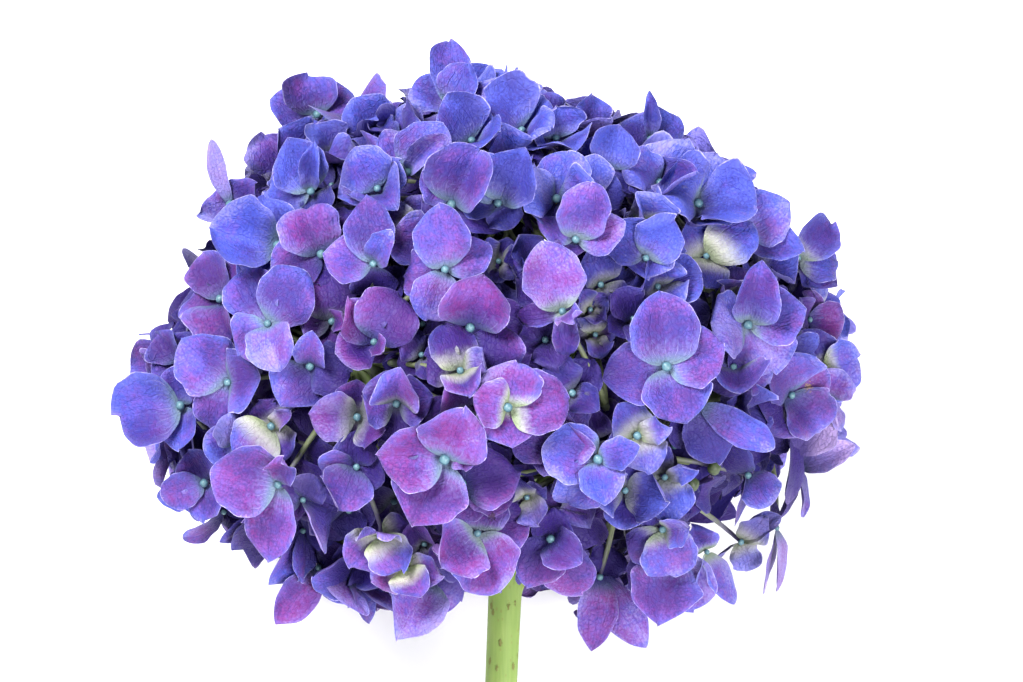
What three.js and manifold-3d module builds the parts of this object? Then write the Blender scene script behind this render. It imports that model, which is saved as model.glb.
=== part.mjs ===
// Hydrangea flower head, cut with a short stem and laid down on its back.
//
// It is a mophead: florets of four broad sepals round a small bud stand shoulder to shoulder all over a dome.
// Each floret's stalk grows from one of the rays that fan out of the top of the stem, so the dome is hollow below.
// The head is worked out as it grew, with the stem down -Z, its best side towards -Y and the middle of its
// widest level at zero. The whole is then tipped back until the florets behind and the cut end of the stem
// both lie on the surface.
import * as THREE from "three";
import { mergeVertices } from "three/addons/utils/BufferGeometryUtils.js";
import Module from "manifold-3d";

const wasm = await Module();
wasm.setup();

// Driving dimensions, in millimetres and degrees
const HEAD_RADIUS = 95; // half of the widest level, over the petals
const CROWN_HEIGHT = 84; // from the widest level up to the crown
const SKIRT_DEPTH = 62; // from the widest level down to the lowest petals
const SQUARENESS = 2.3; // 2 is an ellipse, and more has fuller shoulders
const LIE_TILT = 30; // slope of the stem as the head lies
const PRESSED_IN = 5; // how far the head's weight flattens the florets it lies on
const STEM_RADIUS = 4.8; // where the rays leave it
const CUT_RADIUS = 4.2; // at the cut end
const STEM_TOP_X = 5.3; // how far right of the head's middle the rays leave the stem
const STEM_LEAN = 7.2; // how far left of that the stem is cut
const MIDDLE_X = -1.1; // the head's middle from the origin, which lies under the middle of the whole
const MIDDLE_Y = 23.6;

// Florets
const FLORET_REACH = [17.5, 21]; // shortest and longest from bud to petal tip
const COVERING = 1.22; // the front florets are this much larger than life, so that fewer cover the head
const BUD_INSET = [4, 9]; // how far the buds lie inside the outer surface
const CLOSENESS = 0.67; // least distance between two buds, as a share of their two reaches together
const SKIRT_END = 156; // polar angle where the florets stop, round the stem
const PETAL_THICKNESS = 0.8;
const SEED = 5;

// The hollow cushion that the florets stand on
const CUSHION_INSET = 14; // on average
const CUSHION_RELIEF = 2.4; // its outside is crumpled by this much either way
const CUSHION_WALL = 8;
const CUSHION_END = 138; // polar angle of its lower rim
const RAY_COUNT = 13;
const SOCKET_GAP = 0.3;
const SOCKET_DEPTH = 3.4;

// The florets that show best in front: how far right and up the bud is, the span over the petal tips, the
// direction of one petal anticlockwise from the right, and how far the bud lies inside the outer surface
const FRONT_FLORETS = [
  [45.8, 8.6, 32, 12, 3],
  [66.8, 19.5, 28, 20, 4],
  [-11.8, -15.5, 33, 68, 3],
  [4.7, -2, 26, 72, 4],
  [28, -15.4, 28, 10, 4],
  [-3.2, -34.5, 30, 45, 4],
  [-57.6, 19.8, 29, 40, 3],
  [-68, 4.5, 28, 30, 5],
  [-54.9, -22, 28, 75, 4],
  [-11.7, 33.8, 29, 85, 3],
  [-30.3, 35.3, 26, 80, 5],
  [18.9, 22.9, 27, 22, 3],
  [22.2, 41.6, 26, 80, 5],
  [44.7, -33.5, 24, 30, 5],
  [-21.3, 59, 28, 45, 5],
  [-46.4, 54, 28, 30, 4],
  [2, 51, 26, 85, 5],
  [-10.4, 76.7, 26, 90, 3],
  [-24.3, -1, 23, 0, 9],
  [-7.7, 7.6, 20, 10, 8],
  [-46.7, 8.7, 24, 70, 9],
  [-56.7, -6.8, 22, 60, 9],
  [38.2, -9.3, 23, 45, 9],
  [15.7, -35.9, 25, 50, 8],
  [-1, 18.3, 25, 90, 10],
  [40.5, 36.8, 25, 30, 6],
  [56.1, 37.3, 22, 60, 9],
  [64.9, 2.6, 24, 40, 9],
  [45.3, -20, 22, 75, 9],
  [87.8, 7.3, 22, 20, 6],
  [-30, 15, 25, 60, 9],
  [-28.4, -35.1, 22, 60, 8],
  [30.4, 60, 22, 50, 7],
];

const GOLDEN_TURN = 137.508;
const UP = new THREE.Vector3(0, 0, 1);
const rad = THREE.MathUtils.degToRad;
const mix = THREE.MathUtils.lerp;

// A row of seeded draws between 0 and 1, the same on every machine
function draws(seed) {
  let state = (seed * 7919 + SEED * 104729) % 2147483647;
  const next = () => {
    state = (state * 16807) % 2147483647;
    return state / 2147483647;
  };
  next();
  next();
  return next;
}

// The head's outer surface, or one that lies an inset inside it. Polar angle 0 is the crown, 180 the stem.
function surfacePoint(polar, turn, inset) {
  const height = (polar < 90 ? CROWN_HEIGHT : SKIRT_DEPTH) - inset;
  const power = 2 / SQUARENESS;
  const drop = Math.cos(rad(polar));
  const out = (HEAD_RADIUS - inset) * Math.sin(rad(polar)) ** power;
  return new THREE.Vector3(
    out * Math.cos(rad(turn)),
    out * Math.sin(rad(turn)),
    Math.sign(drop) * height * Math.abs(drop) ** power,
  );
}

function surfaceNormal(point, inset) {
  const height = (point.z > 0 ? CROWN_HEIGHT : SKIRT_DEPTH) - inset;
  const out = Math.hypot(point.x, point.y);
  const outward = (out / (HEAD_RADIUS - inset)) ** (SQUARENESS - 1) / (HEAD_RADIUS - inset);
  const upward = (Math.abs(point.z) / height) ** (SQUARENESS - 1) / height;
  return new THREE.Vector3(
    (outward * point.x) / Math.max(out, 1e-6),
    (outward * point.y) / Math.max(out, 1e-6),
    Math.sign(point.z) * upward,
  ).normalize();
}

// Spots on a spiral over the head that share its area evenly, from the crown to a polar angle
function spiral(count, lastPolar) {
  const steps = 240;
  const area = [0];
  for (let i = 1; i <= steps; i += 1) {
    const above = surfacePoint((lastPolar * (i - 1)) / steps, 0, 0);
    const below = surfacePoint((lastPolar * i) / steps, 0, 0);
    area.push(area[i - 1] + (above.x + below.x) * above.distanceTo(below));
  }
  const spots = [];
  for (let k = 0; k < count; k += 1) {
    const share = (area[steps] * (k + 0.5)) / count;
    const i = area.findIndex((sum) => sum > share);
    const part = (share - area[i - 1]) / (area[i] - area[i - 1]);
    spots.push({ polar: (lastPolar * (i - 1 + part)) / steps, turn: k * GOLDEN_TURN });
  }
  return spots;
}

// The surface that the head lies on: its outward direction and its distance from the head's middle
const floorward = new THREE.Vector3(0, Math.cos(rad(LIE_TILT)), -Math.sin(rad(LIE_TILT)));
const floorDistance =
  Math.hypot(HEAD_RADIUS * Math.cos(rad(LIE_TILT)), SKIRT_DEPTH * Math.sin(rad(LIE_TILT))) - PRESSED_IN;
const overFloor = (point) => floorDistance - point.dot(floorward);

// The far end of each ray, which feeds the florets of one part of the head
const rayTips = spiral(RAY_COUNT, 128).map(({ polar, turn }) =>
  surfacePoint(polar, turn, CUSHION_INSET + CUSHION_WALL - SOCKET_DEPTH),
);

// A floret faces away from the middle of its own ray's florets, so the head is gently lumpy
function facing(bud, inset, draw) {
  const normal = surfaceNormal(bud, inset);
  const ray = rayTips.reduce((a, b) => (a.distanceTo(bud) < b.distanceTo(bud) ? a : b));
  const fan = bud.clone().sub(ray.clone().multiplyScalar(0.5)).normalize();
  const stray = new THREE.Vector3(draw() - 0.5, draw() - 0.5, draw() - 0.5).multiplyScalar(0.5);
  return normal.add(fan).add(stray).normalize();
}

function inFront([x, z, span, spin, inset], k) {
  const draw = draws(500 + k);
  const height = (z > 0 ? CROWN_HEIGHT : SKIRT_DEPTH) - inset;
  const out = (HEAD_RADIUS - inset) * (1 - (Math.abs(z) / height) ** SQUARENESS) ** (1 / SQUARENESS);
  const bud = new THREE.Vector3(x, -Math.sqrt(Math.max(out * out - x * x, 0)), z);
  const towards = facing(bud, inset, draw).add(new THREE.Vector3(0, -0.6, 0)).normalize();
  return { bud, towards, spin, reach: (COVERING * span) / 2, cup: mix(0.02, 0.3, draw()) };
}

// Three florets lie flat on the surface, round the spot under the head's weight
function onFloor(k) {
  const turn = rad(90 + 120 * k);
  const across = new THREE.Vector3(1, 0, 0);
  const along = across.clone().cross(floorward);
  const contact = new THREE.Vector3(0, HEAD_RADIUS * 0.93, -SKIRT_DEPTH * 0.34);
  const bud = contact
    .addScaledVector(floorward, overFloor(contact) - PETAL_THICKNESS)
    .addScaledVector(across, 19 * Math.cos(turn))
    .addScaledVector(along, 19 * Math.sin(turn));
  return { bud, towards: floorward.clone(), spin: 45 + 30 * k, reach: 15, cup: 0, flat: true };
}

// A floret on one of the spiral's spots, pressed flat where it meets the surface that the head lies on
function onSpiral({ polar, turn }, k) {
  const draw = draws(k);
  const inset = mix(...BUD_INSET, draw());
  const bud = surfacePoint(polar, turn + 2 * draw(), inset);
  const towards = facing(bud, inset, draw);
  const reach = mix(...FLORET_REACH, draw());
  const floret = { bud, towards, spin: 90 * draw(), reach, cup: mix(0.02, 0.35, draw()) };
  const near = overFloor(bud);
  if (near < reach) {
    const pressed = THREE.MathUtils.smoothstep(reach - near, 0, 0.8 * reach);
    towards.lerp(floorward, pressed).normalize();
    floret.cup *= 1 - pressed;
    bud.addScaledVector(floorward, Math.min(0, near - 3.2));
  }
  return floret;
}

// Every floret of the outer layer. After those that have a place of their own, each goes where most room is left.
function outerFlorets() {
  const placed = [0, 1, 2].map(onFloor).concat(FRONT_FLORETS.map(inFront));
  const spare = spiral(900, SKIRT_END).map(onSpiral);
  const apart = (a, b) => a.bud.distanceTo(b.bud) / (a.reach + b.reach);
  const room = spare.map((floret) => Math.min(...placed.map((other) => apart(floret, other))));
  while (Math.max(...room) > CLOSENESS) {
    const floret = spare[room.indexOf(Math.max(...room))];
    placed.push(floret);
    spare.forEach((other, i) => {
      room[i] = Math.min(room[i], apart(floret, other));
    });
  }
  return placed;
}

// A closed solid from corner points and the faces between them
function solid(points, faces) {
  const geometry = new THREE.BufferGeometry();
  geometry.setAttribute("position", new THREE.Float32BufferAttribute(points.flatMap((p) => p.toArray()), 3));
  geometry.setIndex(faces.flat());
  return manifold(geometry);
}

function manifold(geometry) {
  const bare = geometry.clone();
  bare.deleteAttribute("normal");
  bare.deleteAttribute("uv");
  const merged = mergeVertices(bare, 1e-3);
  const corners = [];
  for (let i = 0; i < merged.index.count; i += 3) {
    const [a, b, c] = [0, 1, 2].map((n) => merged.index.getX(i + n));
    if (a !== b && b !== c && c !== a) corners.push(a, b, c);
  }
  return new wasm.Manifold(
    new wasm.Mesh({
      numProp: 3,
      vertProperties: merged.attributes.position.array,
      triVerts: new Uint32Array(corners),
    }),
  );
}

// One petal's outline from the notch at its one side round its tip: degrees from its middle, share of the
// reach, and lift, because each petal's left edge stands over the next petal's right one
const PETAL_OUTLINE = [
  [-45, 0.74, 0],
  [-29, 0.96, -0.9],
  [4, 1.02, 0],
  [31, 0.93, 0.9],
];
const BUD_RADIUS = 1.6;
const BUD_HEIGHT = 2;
const STALK_RADIUS = 1.4; // under the petals, from where it tapers into the cushion

// Where a floret's stalk is rooted: in the cushion's wall, straight inside the bud or just above the rim
function stalkFoot(bud) {
  const polar = THREE.MathUtils.radToDeg(Math.atan2(Math.hypot(bud.x, bud.y), bud.z));
  const turn = THREE.MathUtils.radToDeg(Math.atan2(bud.y, bud.x));
  return surfacePoint(Math.min(polar, CUSHION_END - 6), turn, CUSHION_INSET + CUSHION_WALL / 2);
}

// A floret is one solid: four petals that each lap over the next, a square bud above and a stalk below
function floretSolid({ bud, towards, spin, reach, cup, flat }) {
  const side = Math.abs(towards.x) < 0.9 ? new THREE.Vector3(1, 0, 0) : new THREE.Vector3(0, 1, 0);
  const right = side.addScaledVector(towards, -side.dot(towards)).normalize();
  const over = towards.clone().cross(right);
  const at = (angle, radius, lift) =>
    bud
      .clone()
      .addScaledVector(right, radius * Math.cos(rad(angle)))
      .addScaledVector(over, radius * Math.sin(rad(angle)))
      .addScaledVector(towards, lift);
  const points = [];
  const add = (point) => points.push(point) - 1;
  const bend = (share) => cup * reach * share * share;

  const rim = [];
  const top = add(at(0, 0, flat ? PETAL_THICKNESS : BUD_HEIGHT));
  const foot = add(stalkFoot(bud));
  const root = [];
  for (let lobe = 0; lobe < 4; lobe += 1) {
    const middle = spin + 90 * lobe;
    root.push({
      face: add(at(middle - 45, BUD_RADIUS, flat ? PETAL_THICKNESS : PETAL_THICKNESS + 0.2)),
      back: add(at(middle - 45, STALK_RADIUS, 0)),
    });
    rim.push(
      PETAL_OUTLINE.map(([angle, share, lift]) => {
        const height = flat ? 0 : bend(share) + lift;
        return {
          face: add(at(middle + angle, reach * share, height + PETAL_THICKNESS)),
          back: add(at(middle + angle, reach * share, height)),
        };
      }),
    );
  }

  const faces = [];
  for (let lobe = 0; lobe < 4; lobe += 1) {
    const edge = rim[lobe];
    const next = rim[(lobe + 1) % 4][0];
    const here = root[lobe];
    const there = root[(lobe + 1) % 4];
    const [notch, shoulder, tip, brow] = edge;
    const fan = [
      [here, notch, shoulder],
      [here, shoulder, tip],
      [here, tip, there],
      [there, tip, brow],
      [there, brow, next],
    ];
    for (const [a, b, c] of fan) {
      faces.push([a.face, b.face, c.face], [a.back, c.back, b.back]);
    }
    faces.push([top, here.face, there.face], [foot, there.back, here.back]);
    [...edge, next].slice(1).forEach((b, i) => {
      const a = edge[i];
      faces.push([a.face, a.back, b.back], [a.face, b.back, b.face]);
    });
  }
  return solid(points, faces);
}

// The cushion stands for the packed petals and stalks just below the florets: a crumpled dome, open below
function cushion() {
  const outer = [];
  const inner = [];
  for (let polar = 0; polar <= CUSHION_END; polar += CUSHION_END / 9) {
    const out = surfacePoint(Math.max(polar, 0.001), 0, CUSHION_INSET);
    const within = surfacePoint(Math.max(polar, 0.001), 0, CUSHION_INSET + CUSHION_WALL);
    outer.push(new THREE.Vector2(out.x, out.z));
    inner.push(new THREE.Vector2(within.x, within.z));
  }
  outer[0].x = 0;
  inner[0].x = 0;
  const section = [...inner, ...outer.reverse()];
  const turned = new THREE.LatheGeometry(section, 18).rotateX(Math.PI / 2);
  const place = turned.attributes.position;
  for (let i = 0; i < place.count; i += 1) {
    const spot = new THREE.Vector3().fromBufferAttribute(place, i);
    const crumple = Math.sin(0.31 * spot.x + 0.17 * spot.z) + Math.cos(0.29 * spot.y - 0.23 * spot.z);
    if (i % section.length > inner.length) spot.setLength(spot.length() + 0.5 * CUSHION_RELIEF * crumple);
    place.setXYZ(i, spot.x, spot.y, spot.z);
  }
  return manifold(turned);
}

// A rod along a route, round in section and tapering from one end to the other
function rod(route, radii, sides) {
  const curve = new THREE.CatmullRomCurve3(route);
  const steps = radii.length - 1;
  const points = [];
  const faces = [];
  const start = curve.getTangent(0);
  let side = new THREE.Vector3(0, 1, 0).addScaledVector(start, -start.y).normalize();
  for (let i = 0; i <= steps; i += 1) {
    const along = curve.getTangent(i / steps);
    side = side.addScaledVector(along, -side.dot(along)).normalize();
    const across = along.clone().cross(side);
    for (let j = 0; j < sides; j += 1) {
      const angle = (2 * Math.PI * j) / sides;
      points.push(
        curve
          .getPoint(i / steps)
          .addScaledVector(side, radii[i] * Math.cos(angle))
          .addScaledVector(across, radii[i] * Math.sin(angle)),
      );
    }
  }
  for (let i = 0; i < steps; i += 1) {
    for (let j = 0; j < sides; j += 1) {
      const a = i * sides + j;
      const b = i * sides + ((j + 1) % sides);
      faces.push([a, b, b + sides], [a, b + sides, a + sides]);
    }
  }
  for (let j = 1; j < sides - 1; j += 1) {
    faces.push([0, j + 1, j], [steps * sides, steps * sides + j, steps * sides + j + 1]);
  }
  return solid(points, faces);
}

// How far below the head's middle the stem is cut, so that its end touches the surface too
const cutDepth = (floorDistance - CUT_RADIUS * Math.cos(rad(LIE_TILT))) / Math.sin(rad(LIE_TILT));
const STEM_TOP = -22;

function stem() {
  const route = [0, 0.35, 0.7, 1].map((share) => {
    const z = mix(-cutDepth, STEM_TOP, share);
    return new THREE.Vector3(STEM_TOP_X - STEM_LEAN * (1 - share), 0, z);
  });
  const radii = [CUT_RADIUS, 4.25, 4.3, 4.4, 4.5, 4.6, STEM_RADIUS, STEM_RADIUS, 3.6];
  return rod(route, radii, 12);
}

// A ray leaves the stem's top, arches out and ends in the cushion's wall. The grown one makes its socket.
function ray(tip, k, grown) {
  const foot = new THREE.Vector3(STEM_TOP_X, 0, STEM_TOP - 4 - 1.4 * (k % 5));
  const out = tip.clone().normalize();
  const knee = foot.clone().lerp(tip, 0.45).addScaledVector(UP, 5 + 6 * Math.abs(out.x));
  const end = tip.clone().addScaledVector(out, grown);
  return rod([foot, knee, end], [2.6 + grown, 2.1 + grown, 1.8 + grown, 1.7 + grown], 5);
}

const joined = (solids) => wasm.Manifold.union(solids);

function mesh(name, shape, colour, roughness) {
  const made = shape.getMesh();
  const geometry = new THREE.BufferGeometry();
  geometry.setAttribute("position", new THREE.BufferAttribute(made.vertProperties, 3));
  geometry.setIndex(new THREE.BufferAttribute(made.triVerts, 1));
  const material = new THREE.MeshStandardMaterial({ color: colour, roughness, metalness: 0 });
  const part = new THREE.Mesh(geometry, material);
  part.name = name;
  return part;
}

const sockets = joined(rayTips.map((tip, k) => ray(tip, k, SOCKET_GAP)));
const florets = joined([cushion(), ...outerFlorets().map(floretSolid)]).subtract(sockets);
const branched = joined([stem(), ...rayTips.map((tip, k) => ray(tip, k, 0))]);

const flower = new THREE.Group();
flower.add(mesh("floret_head", florets, 0x5b46b4, 0.6));
flower.add(mesh("stem_and_rays", branched, 0x9dc46b, 0.55));
flower.rotation.x = -rad(90 - LIE_TILT);
flower.position.set(MIDDLE_X, MIDDLE_Y, floorDistance);

const part = new THREE.Group();
part.add(flower);
export default part;
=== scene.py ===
import math
from collections import namedtuple

import bpy
import numpy as np
from mathutils import Matrix, Vector


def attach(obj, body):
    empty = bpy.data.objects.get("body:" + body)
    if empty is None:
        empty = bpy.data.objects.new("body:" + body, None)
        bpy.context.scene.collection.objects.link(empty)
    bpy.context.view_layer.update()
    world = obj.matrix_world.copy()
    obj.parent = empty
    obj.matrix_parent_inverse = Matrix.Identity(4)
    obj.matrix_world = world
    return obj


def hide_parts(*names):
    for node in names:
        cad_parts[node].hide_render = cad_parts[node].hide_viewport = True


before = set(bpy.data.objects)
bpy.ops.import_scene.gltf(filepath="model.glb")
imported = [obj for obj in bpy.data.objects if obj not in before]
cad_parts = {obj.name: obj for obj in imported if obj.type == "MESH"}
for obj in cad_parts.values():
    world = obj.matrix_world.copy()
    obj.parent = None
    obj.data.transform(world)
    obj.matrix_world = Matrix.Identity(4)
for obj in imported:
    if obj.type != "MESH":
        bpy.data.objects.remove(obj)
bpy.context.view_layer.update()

# The stem is one straight, solid green shoot, not yet woody, faintly six-sided, with small brown
# pores along it. It was cut square with shears, and its end shows a pale pith in a green ring.
STEM_RADIUS = 4.35
CUT_RADIUS = 4.2
STEM_PROFILE = [(0, CUT_RADIUS), (0.5, 4.1), (0.8, STEM_RADIUS), (0.93, 4.9), (1, 3.4)]
STEM_TOP = -22
STEM_TOP_X = 5.3
STEM_LEAN = 6.4
STEM_RINGS = 150
STEM_SIDES = 36
SIX_SIDED = 0.009
UNEVEN = 0.012
CUT_BEVEL = 0.985
LEAF_SCAR = (9.2, -0.6, -47)
SCAR_TURN = math.radians(-163)
SCAR_SIZE = 2.2
SCAR_RISE = 0.2

# The whole flower is shaped as it grew, in millimetres, with the stem down and the best side
# towards -Y. Cut, it lies on its back, on three florets and on the end of the stem, so each piece
# is laid down when it is made.
MILLIMETRE = 0.001
HEAD_RADIUS = 95
SKIRT_DEPTH = 62
LIE_TILT = math.radians(30)
PRESSED_IN = 5
MIDDLE_X = -1.1
MIDDLE_Y = 23.6
MIDDLE_HEIGHT = math.hypot(HEAD_RADIUS * math.cos(LIE_TILT), SKIRT_DEPTH * math.sin(LIE_TILT)) - PRESSED_IN
CUT_DEPTH = (MIDDLE_HEIGHT - CUT_RADIUS * math.cos(LIE_TILT)) / math.sin(LIE_TILT)


def laid(points):
    """Points of the upright head where they are once it lies on its back, still in millimetres"""
    x, y, z = np.moveaxis(points, -1, 0)
    forward = z * math.cos(LIE_TILT) + y * math.sin(LIE_TILT) + MIDDLE_Y
    height = z * math.sin(LIE_TILT) - y * math.cos(LIE_TILT) + MIDDLE_HEIGHT
    return np.stack([x + MIDDLE_X, forward, height], axis=-1)


def unit(vectors):
    """Vectors brought to length one"""
    return vectors / np.maximum(np.linalg.norm(vectors, axis=-1, keepdims=True), 1e-9)


Part = namedtuple("Part", "points faces kinds corners marks rim")


def closed_tube(points, rings, sides, cut=True):
    """A closed part from rings of points. A cut end has a sharp rim and takes the second finish.

    A part's kinds give each face its finish, each list of its corners fills one square of the
    piece's flat map, and its marks are what the finish reads at each point.
    """
    faces = []
    corners = []
    for ring in range(rings - 1):
        for side in range(sides):
            here = ring * sides + side
            there = ring * sides + (side + 1) % sides
            faces.append((here, there, there + sides, here + sides))
            low, high = ring / (rings - 1), (ring + 1) / (rings - 1)
            left, right = side / sides, (side + 1) / sides
            corners += [(left, low), (right, low), (right, high), (left, high)]
    faces.append(tuple(range(sides))[::-1])
    faces.append(tuple(range((rings - 1) * sides, rings * sides)))
    angles = np.linspace(0, 2 * math.pi, sides, endpoint=False)
    disc = np.column_stack([np.cos(angles), np.sin(angles)]) / 2 + 0.5
    kinds = np.zeros(len(faces), dtype=np.int32)
    kinds[-2:] = cut
    rim = np.zeros(len(points), dtype=bool)
    rim[:sides] = cut
    rim[-sides:] = cut
    marks = {"along": np.repeat(np.linspace(0, 1, rings), sides)}
    return Part(points, faces, kinds, [np.array(corners), disc[::-1], disc], marks, rim)


def round_shoot(route, radii, sides, swell=1):
    """A closed round shoot along a route"""
    rings = len(route)
    heading = unit(np.gradient(route, axis=0))
    aside = unit(np.cross(heading, [0.3, 0.9, 0.2]))
    other = np.cross(heading, aside)
    angles = np.linspace(0, 2 * math.pi, sides, endpoint=False)
    radius = np.broadcast_to(np.reshape(radii, (rings, 1)) * swell, (rings, sides))
    spokes = aside[:, None] * np.cos(angles)[None, :, None] + other[:, None] * np.sin(angles)[None, :, None]
    points = (route[:, None] + radius[..., None] * spokes).reshape(-1, 3)
    return closed_tube(points, rings, sides)


def stem_shoot():
    """The stem from its cut end up into the head"""
    share = np.linspace(0, 1, STEM_RINGS)
    height = -CUT_DEPTH + (CUT_DEPTH + STEM_TOP) * share
    route = np.column_stack([STEM_TOP_X - STEM_LEAN * (1 - share), 0 * share, height])
    angles = np.linspace(0, 2 * math.pi, STEM_SIDES, endpoint=False)[None, :]
    along = share[:, None]
    swell = 1 + SIX_SIDED * np.cos(6 * angles + along) + UNEVEN * np.sin(9 * along + angles)
    near_scar = np.exp(-(((height[:, None] - LEAF_SCAR[2]) / SCAR_SIZE) ** 2))
    swell = swell + SCAR_RISE * near_scar * np.maximum(0, np.cos(angles - SCAR_TURN)) ** 8
    swell[0] = CUT_BEVEL
    swell[1] = 1
    return round_shoot(route, np.interp(share, *zip(*STEM_PROFILE)), STEM_SIDES, swell)


class Shade:
    """A value, colour or vector inside a finish, so that the finish is written as sums"""

    def __init__(self, tree, socket=None):
        self.tree = tree
        self.socket = socket

    def node(self, kind, settings=None, sockets=None, output=0):
        """Any node: its settings are made first, then the values and links of its sockets"""
        made = self.tree.nodes.new("ShaderNode" + kind)
        for setting, value in (settings or {}).items():
            if setting == "stops":
                for number, (place, colour) in enumerate(value):
                    stops = made.color_ramp.elements
                    stop = stops[number] if number < 2 else stops.new(place)
                    stop.position = place
                    stop.color = colour
            else:
                setattr(made, setting, value)
        for socket, value in (sockets or {}).items():
            if isinstance(value, Shade):
                self.tree.links.new(value.socket, made.inputs[socket])
            else:
                made.inputs[socket].default_value = value
        return Shade(self.tree, made.outputs[output])

    def sum(self, operation, first, second=0.0):
        return self.node("Math", {"operation": operation}, {0: first, 1: second})

    def __add__(self, other):
        return self.sum("ADD", self, other)

    def __sub__(self, other):
        return self.sum("SUBTRACT", self, other)

    def __rsub__(self, other):
        return self.sum("SUBTRACT", other, self)

    def __mul__(self, other):
        return self.sum("MULTIPLY", self, other)

    def __truediv__(self, other):
        return self.sum("DIVIDE", self, other)

    def __abs__(self):
        return self.sum("ABSOLUTE", self)

    __radd__ = __add__
    __rmul__ = __mul__

    def sine(self):
        return self.sum("SINE", self)

    def eased(self, low, high):
        """0 below low and 1 above high, with a soft step between them"""
        return self.node("MapRange", {"interpolation_type": "SMOOTHSTEP"}, {0: self, 1: low, 2: high})

    def between(self, low, high):
        """The first colour where this is 0, and the second where it is 1"""
        return self.node("Mix", {"data_type": "RGBA"}, {0: self, 6: low, 7: high}, 2)

    def ramp(self, *stops):
        return self.node("ValToRGB", {"stops": stops}, {0: self})

    def mark(self, name):
        """What the piece carries under this name at each point"""
        return self.node("Attribute", {"attribute_name": name}, output="Fac")

    def grown(self):
        return self.node("Attribute", {"attribute_name": "grown"}, output="Vector")

    def stretched(self, amounts):
        return self.node("VectorMath", {"operation": "MULTIPLY"}, {0: self, 1: amounts})

    def distance(self, place):
        return self.node("VectorMath", {"operation": "DISTANCE"}, {0: self, 1: place}, "Value")

    def noise(self, scale, detail=2.0):
        return self.node("TexNoise", None, {"Vector": self, "Scale": scale, "Detail": detail})

    def cells(self, scale, feature="F1", output="Distance"):
        return self.node("TexVoronoi", {"feature": feature}, {"Vector": self, "Scale": scale}, output)


def colour(red, green, blue):
    """A colour as it looks on a screen, from 0 to 255, as the shader takes it"""
    linear = [((c / 255 + 0.055) / 1.055) ** 2.4 if c > 10 else c / 3295 for c in (red, green, blue)]
    return (*linear, 1)


def new_finish(name, settings):
    """A material with its steady settings, and the blank from which its nodes are drawn"""
    material = bpy.data.materials.new(name)
    material.use_nodes = True
    shader = material.node_tree.nodes["Principled BSDF"]
    for socket, value in settings.items():
        shader.inputs[socket].default_value = value
    return material, Shade(material.node_tree)


def coat(material, skin, roughness, relief, depth):
    """Joins a finish's colour, roughness and relief to its shader, the relief as deep as given"""
    bump = relief.node("Bump", None, {"Strength": 1.0, "Distance": depth * MILLIMETRE, "Height": relief})
    shader = material.node_tree.nodes["Principled BSDF"]
    for socket, layer in {"Base Color": skin, "Roughness": roughness, "Normal": bump}.items():
        material.node_tree.links.new(layer.socket, shader.inputs[socket])


STEM_GREEN = colour(124, 148, 76)
STEM_LIGHT = colour(136, 156, 86)
STEM_SHADE = colour(113, 139, 70)
STEM_SPECK = colour(124, 108, 60)
STEM_PORE = colour(104, 82, 48)
LEAF_SCAR_BROWN = colour(112, 104, 52)
PITH = colour(226, 232, 190)
CUT_RING = colour(140, 172, 92)
SAP_GLOW = {"Subsurface Weight": 0.12, "Subsurface Radius": (0.002, 0.003, 0.001)}

stem_bark, blank = new_finish("stem_bark", {"Specular IOR Level": 0.3, **SAP_GLOW})
streaks = blank.grown().stretched((1, 1, 0.06)).noise(1.6, 4)
clouds = blank.grown().noise(0.09, 2)
pore_spots = blank.grown().stretched((1, 1, 0.5)).cells(0.4)
pore_rough = blank.grown().noise(2.2, 2)
pores = 1 - (pore_spots + (pore_rough - 0.5) * 0.3).eased(0.14, 0.25)
specks = 1 - blank.grown().stretched((1, 1, 0.6)).cells(0.7).eased(0.14, 0.24)
scar = 1 - (blank.grown().distance(LEAF_SCAR) + pore_rough * 1.5).eased(1.8, 3.2)
green = (streaks * 0.6 + clouds * 0.6 - 0.1).ramp((0.25, STEM_SHADE), (0.5, STEM_GREEN), (0.75, STEM_LIGHT))
green = (specks * 0.4).between(green, STEM_SPECK)
green = (scar * 0.8).between(green, LEAF_SCAR_BROWN)
coat(
    stem_bark,
    skin=(pores * 0.6).between(green, STEM_PORE),
    roughness=0.52 + streaks * 0.2 + pores * 0.2,
    relief=streaks * 0.5 + pores * 0.9,
    depth=0.25,
)

cut_face, blank = new_finish("cut_face", {"Subsurface Weight": 0.1})
grain = blank.grown().noise(3.5, 3)
coat(
    cut_face,
    skin=(grain * 1.4 - 0.3).between(CUT_RING, PITH),
    roughness=0.6 + grain * 0.2,
    relief=grain,
    depth=0.2,
)


MAP_MARGIN = 0.04


def put(name, data):
    """A new object of the scene"""
    made = bpy.data.objects.new(name, data)
    bpy.context.scene.collection.objects.link(made)
    return made


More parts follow.
